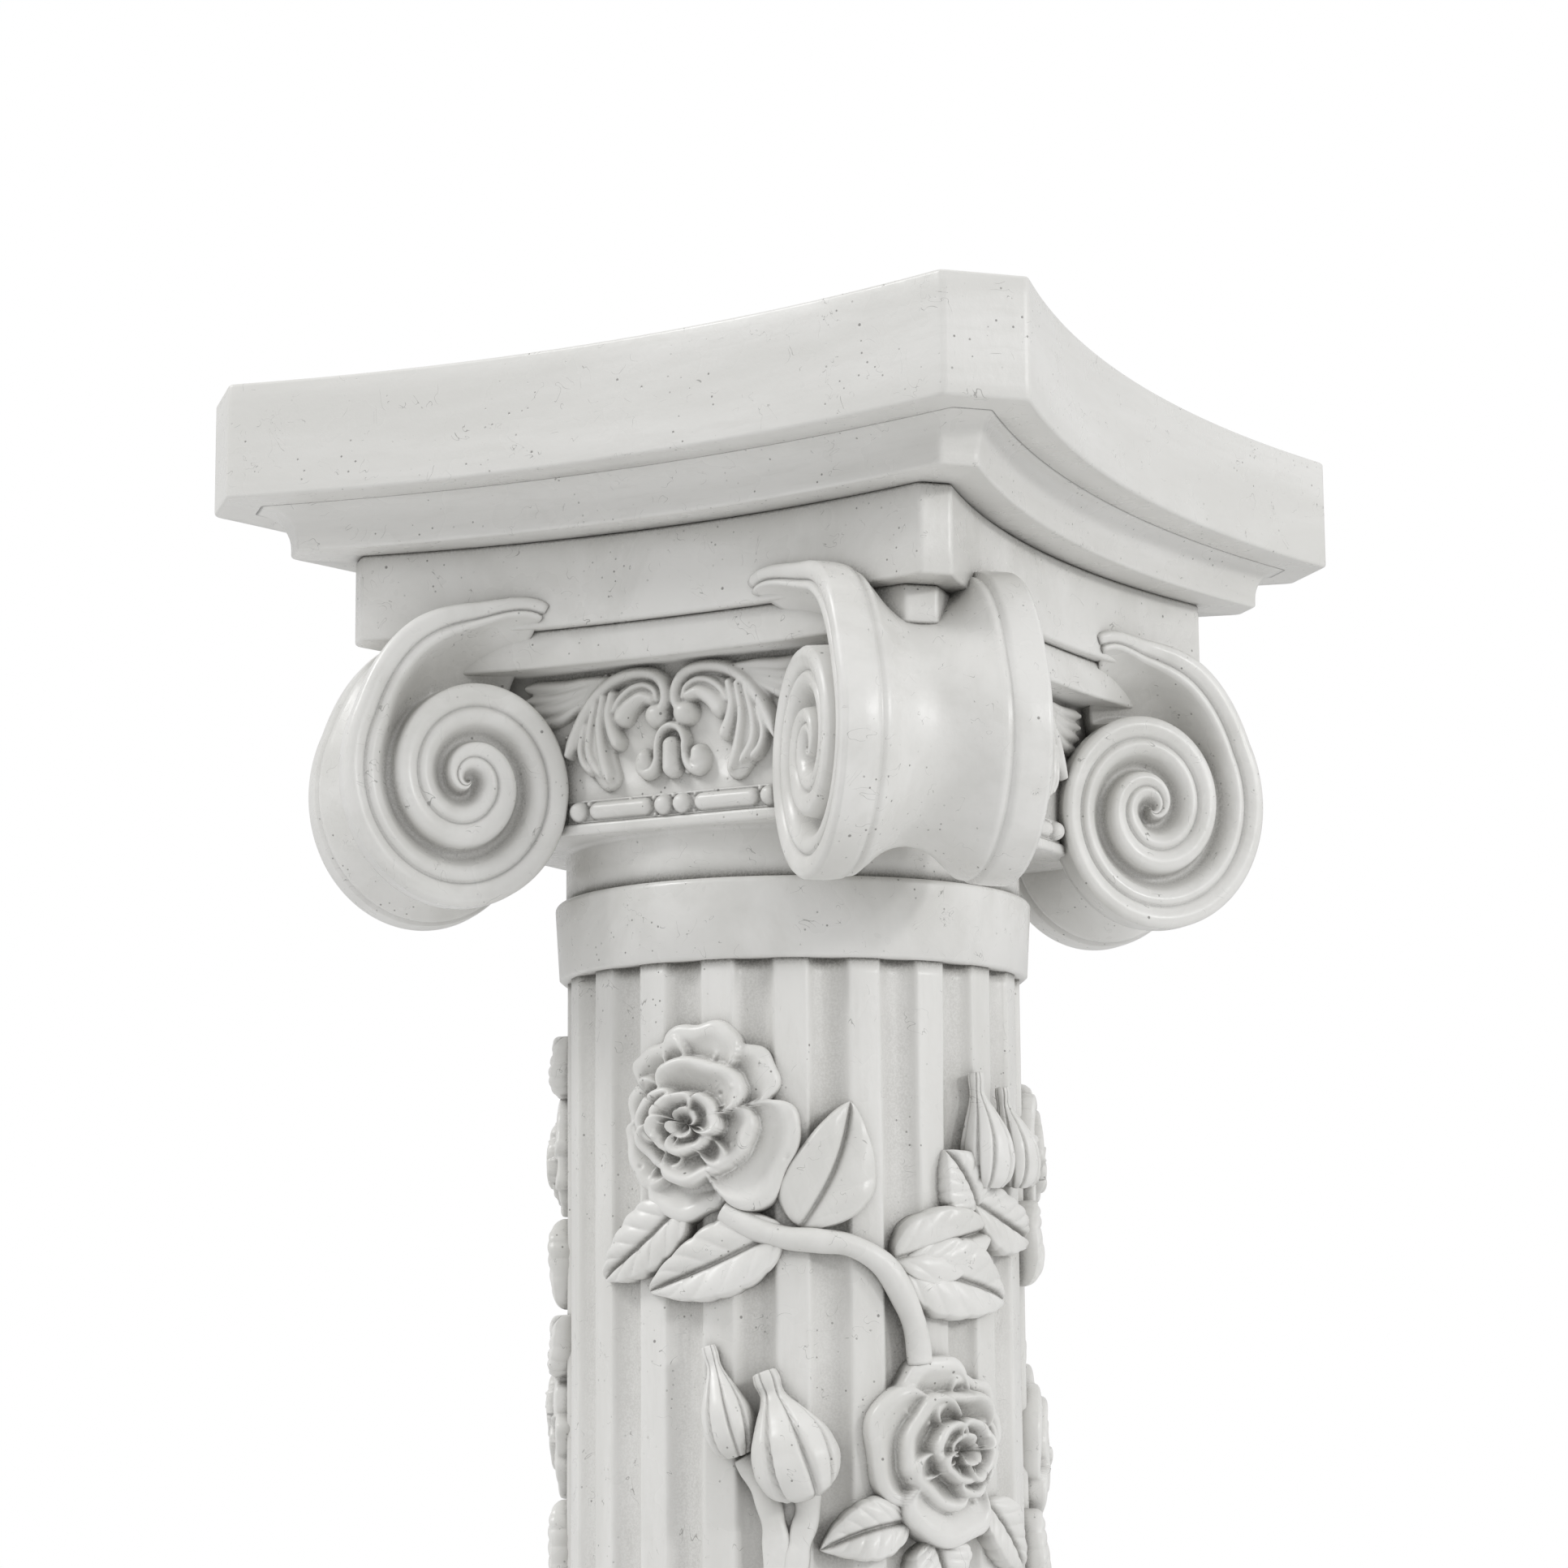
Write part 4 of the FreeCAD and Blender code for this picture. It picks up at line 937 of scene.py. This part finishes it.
def swept_shell(path, radii, sections=18, flatness=1.0):
    """Closed tube along a path with a radius at each point; flatness is its outward radius as a share."""
    path = np.asarray(path)
    ahead = np.gradient(path, axis=0)
    ahead /= np.linalg.norm(ahead, axis=1)[:, None]
    out = path * np.array([1, 1, 0])
    out /= np.linalg.norm(out, axis=1)[:, None]
    side = np.cross(ahead, out)
    side /= np.linalg.norm(side, axis=1)[:, None]
    out = np.cross(side, ahead)
    angle = np.linspace(0, 2 * math.pi, sections, endpoint=False)
    ring = radii[:, None, None] * (np.cos(angle)[None, :, None] * side[:, None]
                                   + flatness * np.sin(angle)[None, :, None] * out[:, None])
    grid = path[:, None] + ring
    count = len(path)
    faces = grid_faces(sections, count, round_rows=True)[0]
    points = grid.transpose(1, 0, 2).reshape(-1, 3)
    start_cap = [index * count for index in range(sections)]
    end_cap = [index * count + count - 1 for index in reversed(range(sections))]
    return points, faces.tolist() + [start_cap[::-1], end_cap[::-1]]


def stem_shell(start, places, radius, height, flatness=1.0):
    steps = 90
    route = curve_through([placed(start, place) for place in places], steps)
    share = np.linspace(0, 1, steps)
    radii = radius * (1 + 0.06 * np.sin(share * 21) + 0.05 * np.sin(share * 9 + 1))
    path = about_axis(shaft_radius + height, np.radians(route[:, 0]), route[:, 1])
    return swept_shell(path, radii, flatness=flatness)


# Along a bud, from its foot to its tip: share of its length, share of its greatest radius.
bud_outline = [(0.0, 0.50), (0.06, 0.84), (0.20, 1.0), (0.40, 0.93), (0.60, 0.62), (0.76, 0.32), (0.86, 0.24),
               (0.94, 0.36), (1.0, 0.24)]
sepal_count, sepal_start, sepal_twist = 4, 26, 30  # the last two in degrees


def bud_shell(base, tip, width):
    """Closed bud: broad sepals wrap it from the foot, parted by grooves, and flare at the tip."""
    steps, sections, soften = 72, 110, 4
    share = np.linspace(0, 1, steps)
    azimuth = np.radians(base[0] + (tip[0] - base[0]) * share)
    body = width / 2 * np.interp(share, *np.array(bud_outline).T)
    body = np.convolve(np.pad(body, soften, mode="edge"), np.ones(2 * soften + 1) / (2 * soften + 1), "valid")
    reach = shaft_radius + 0.35 * body + 1.4
    path = about_axis(reach, azimuth, base[1] + (tip[1] - base[1]) * share)
    points, faces = swept_shell(path, body, sections)
    grid = points.reshape(sections, steps, 3)
    angle = np.linspace(0, 360, sections, endpoint=False)[:, None]
    gap = 360 / sepal_count
    beside = np.abs((angle + sepal_start + sepal_twist * share[None, :] + gap / 2) % gap - gap / 2)
    edge = 15 + 6 * np.sin(math.pi * share[None, :])
    grow = 1 + 0.06 * smoothstep(beside, edge - 2, edge - 7) - 0.17 * np.exp(-((beside - edge) / 4.0) ** 2)
    grid = path[None] + (grid - path[None]) * grow[..., None]
    return grid.reshape(-1, 3), faces


def add_spray(name, azimuth, row, clustered, seed):
    """Two roses, stem, buds and leaves; a clustered spray has more buds and leaves."""
    start = (azimuth, upper_bloom_z - row * spray_pitch)
    for tail, kind, width, offset in spray_blooms:
        shell = bloom_shell(kind, width, 0, seed, placed(start, offset), 1.0)
        build_piece("rose_" + name + "_" + tail, "_bloom", *shell, bloom_weld)
    build_piece("rose_stem_" + name, "_bark", *stem_shell(start, stem_places, 3.7, 2.4))
    stems = [stem_shell(start, places, 3.9, 1.2, 0.62) for places in bud_stem_places]
    build_piece("bud_stems_" + name, "_bark", *joined(stems))
    buds = [bud_shell(placed(start, base), placed(start, tip), width)
            for base, tip, width in [small_bud, large_bud] + (cluster_buds if clustered else [])]
    build_piece("rose_buds_" + name, "_sepals", *joined(buds))
    blades = spray_leaves + (cluster_leaves if clustered else [])
    leaves = [leaf_shell(placed(start, base), placed(start, tip), width, ribs, seed + index)
              for index, (base, tip, width, ribs) in enumerate(blades)]
    build_piece("rose_leaves_" + name, "_blades", *joined(leaves))


def add_side_roses(seed):
    bloom_width, bloom_rise, leaf_width, ribs = 50.0, 0.72, 17.0, 0.7
    leaves = {"left": [], "right": []}
    for name, (azimuth, drop) in side_blooms.items():
        start = (azimuth, upper_bloom_z - drop * spray_pitch)
        seed += 1
        kind, spin = "cupped" if seed % 2 else "full", 77 * seed
        shell = bloom_shell(kind, bloom_width, spin, seed, start, bloom_rise)
        build_piece("rose_" + name, "_bloom", *shell, bloom_weld)
        for base, tip in side_leaf_offsets:
            blade = leaf_shell(placed(start, base), placed(start, tip), leaf_width, ribs, seed)
            leaves[name.split("_")[0]].append(blade)
    for flank, shells in leaves.items():
        build_piece("rose_leaves_" + flank, "_blades", *joined(shells))


# ---- stage ----

# The camera looks from its place along an azimuth and upward by its pitch, in degrees.
camera_place = Vector((0.5425, -1.0339, 0.3921))
camera_azimuth, camera_pitch, camera_roll = 27.81, 9.36, 0.46
camera_lens, camera_sensor = 84.52, 36.0
# Lamps: place and diameter in metres, power in watts. All face light_aim.
softboxes = {"right_softbox": ((2.05, -0.55, 1.1), 0.25, 7), "far_right_softbox": ((2.1, 0.15, 1.15), 0.3, 5),
             "left_softbox": ((-1.4, -1.3, 2.2), 0.8, 20)}
light_aim = Vector((0, 0, 0.5))
floor_half_width, floor_cells, floor_grey = 3.0, 24, 0.74


def add_camera():
    azimuth, pitch, roll = (math.radians(value) for value in (camera_azimuth, camera_pitch, camera_roll))
    forward = Vector((-math.sin(azimuth) * math.cos(pitch), math.cos(azimuth) * math.cos(pitch),
                      math.sin(pitch)))
    level = forward.cross(Vector((0, 0, 1))).normalized()
    upright = level.cross(forward)
    up = upright * math.cos(roll) + level * math.sin(roll)
    right = forward.cross(up)
    camera_data = bpy.data.cameras.new("camera")
    camera_data.lens = camera_lens
    camera_data.sensor_width = camera_sensor
    camera = bpy.data.objects.new("camera", camera_data)
    bpy.context.collection.objects.link(camera)
    turn = Matrix((right, up, -forward)).transposed().to_4x4()
    camera.matrix_world = Matrix.Translation(camera_place) @ turn
    bpy.context.scene.camera = camera


def add_floor():
    shell = bmesh.new()
    bmesh.ops.create_grid(shell, x_segments=floor_cells, y_segments=floor_cells, size=floor_half_width)
    mesh = bpy.data.meshes.new("floor")
    shell.to_mesh(mesh)
    shell.free()
    floor = bpy.data.objects.new("floor", mesh)
    bpy.context.collection.objects.link(floor)
    material, _, shader = new_material("floor_paper")
    shader.inputs["Base Color"].default_value = shade((floor_grey, floor_grey, floor_grey))
    shader.inputs["Roughness"].default_value = 0.9
    mesh.materials.append(material)


def add_light(name, place, size, power):
    data = bpy.data.lights.new(name, "AREA")
    data.shape = "DISK"
    data.size = size
    data.energy = power
    light = bpy.data.objects.new(name, data)
    light.location = place
    aim = light_aim - Vector(place)
    light.rotation_euler = aim.to_track_quat("-Z", "Y").to_euler()
    bpy.context.collection.objects.link(light)


def add_world():
    """White surroundings: full white behind the object, and as light on it weaker, most from above."""
    world = bpy.data.worlds.new("studio")
    world.use_nodes = True
    bpy.context.scene.world = world
    tree = world.node_tree
    background = tree.nodes["Background"]
    background.inputs["Color"].default_value = (1, 1, 1, 1)
    place = add(tree, "ShaderNodeTexCoord").outputs["Generated"]
    rise = add(tree, "ShaderNodeSeparateXYZ", Vector=place).outputs["Z"]
    seen = add(tree, "ShaderNodeLightPath").outputs["Is Camera Ray"]
    strength = add(tree, "ShaderNodeMapRange", Value=seen)
    feed(tree, strength.inputs["To Min"], ramp(tree, rise, -0.3, 0.9, 0.50, 0.86))
    strength.inputs["To Max"].default_value = 1.0
    feed(tree, background.inputs["Strength"], strength.outputs[0])
    bpy.context.scene.view_settings.view_transform = "Standard"


def dress_nodes():
    """The base and the hidden pieces keep their CAD meshes under a finish of their own."""
    slots = {part["node"]: part["material_slot"] for part in frame["record"]["subparts"]}
    for node, item in frame["nodes"].items():
        item.data.materials.clear()
        item.data.materials.append(materials[slots[node]])


add_camera()
add_world()
add_floor()
for name, (place, size, power) in softboxes.items():
    add_light(name, place, size, power)
dress_nodes()
add_slab()
add_cavetto()
add_block()
add_bell()
add_collar()
add_shaft()
build_copies("volute_", "_scroll", *scroll_shell(), corners, weld=0.02)
add_acanthus()
add_bead_rows()
for index, (name, (azimuth, row)) in enumerate(sprays.items()):
    add_spray(name, azimuth, row, clustered=name == "front", seed=10 * (index + 1))
add_side_roses(seed=70)
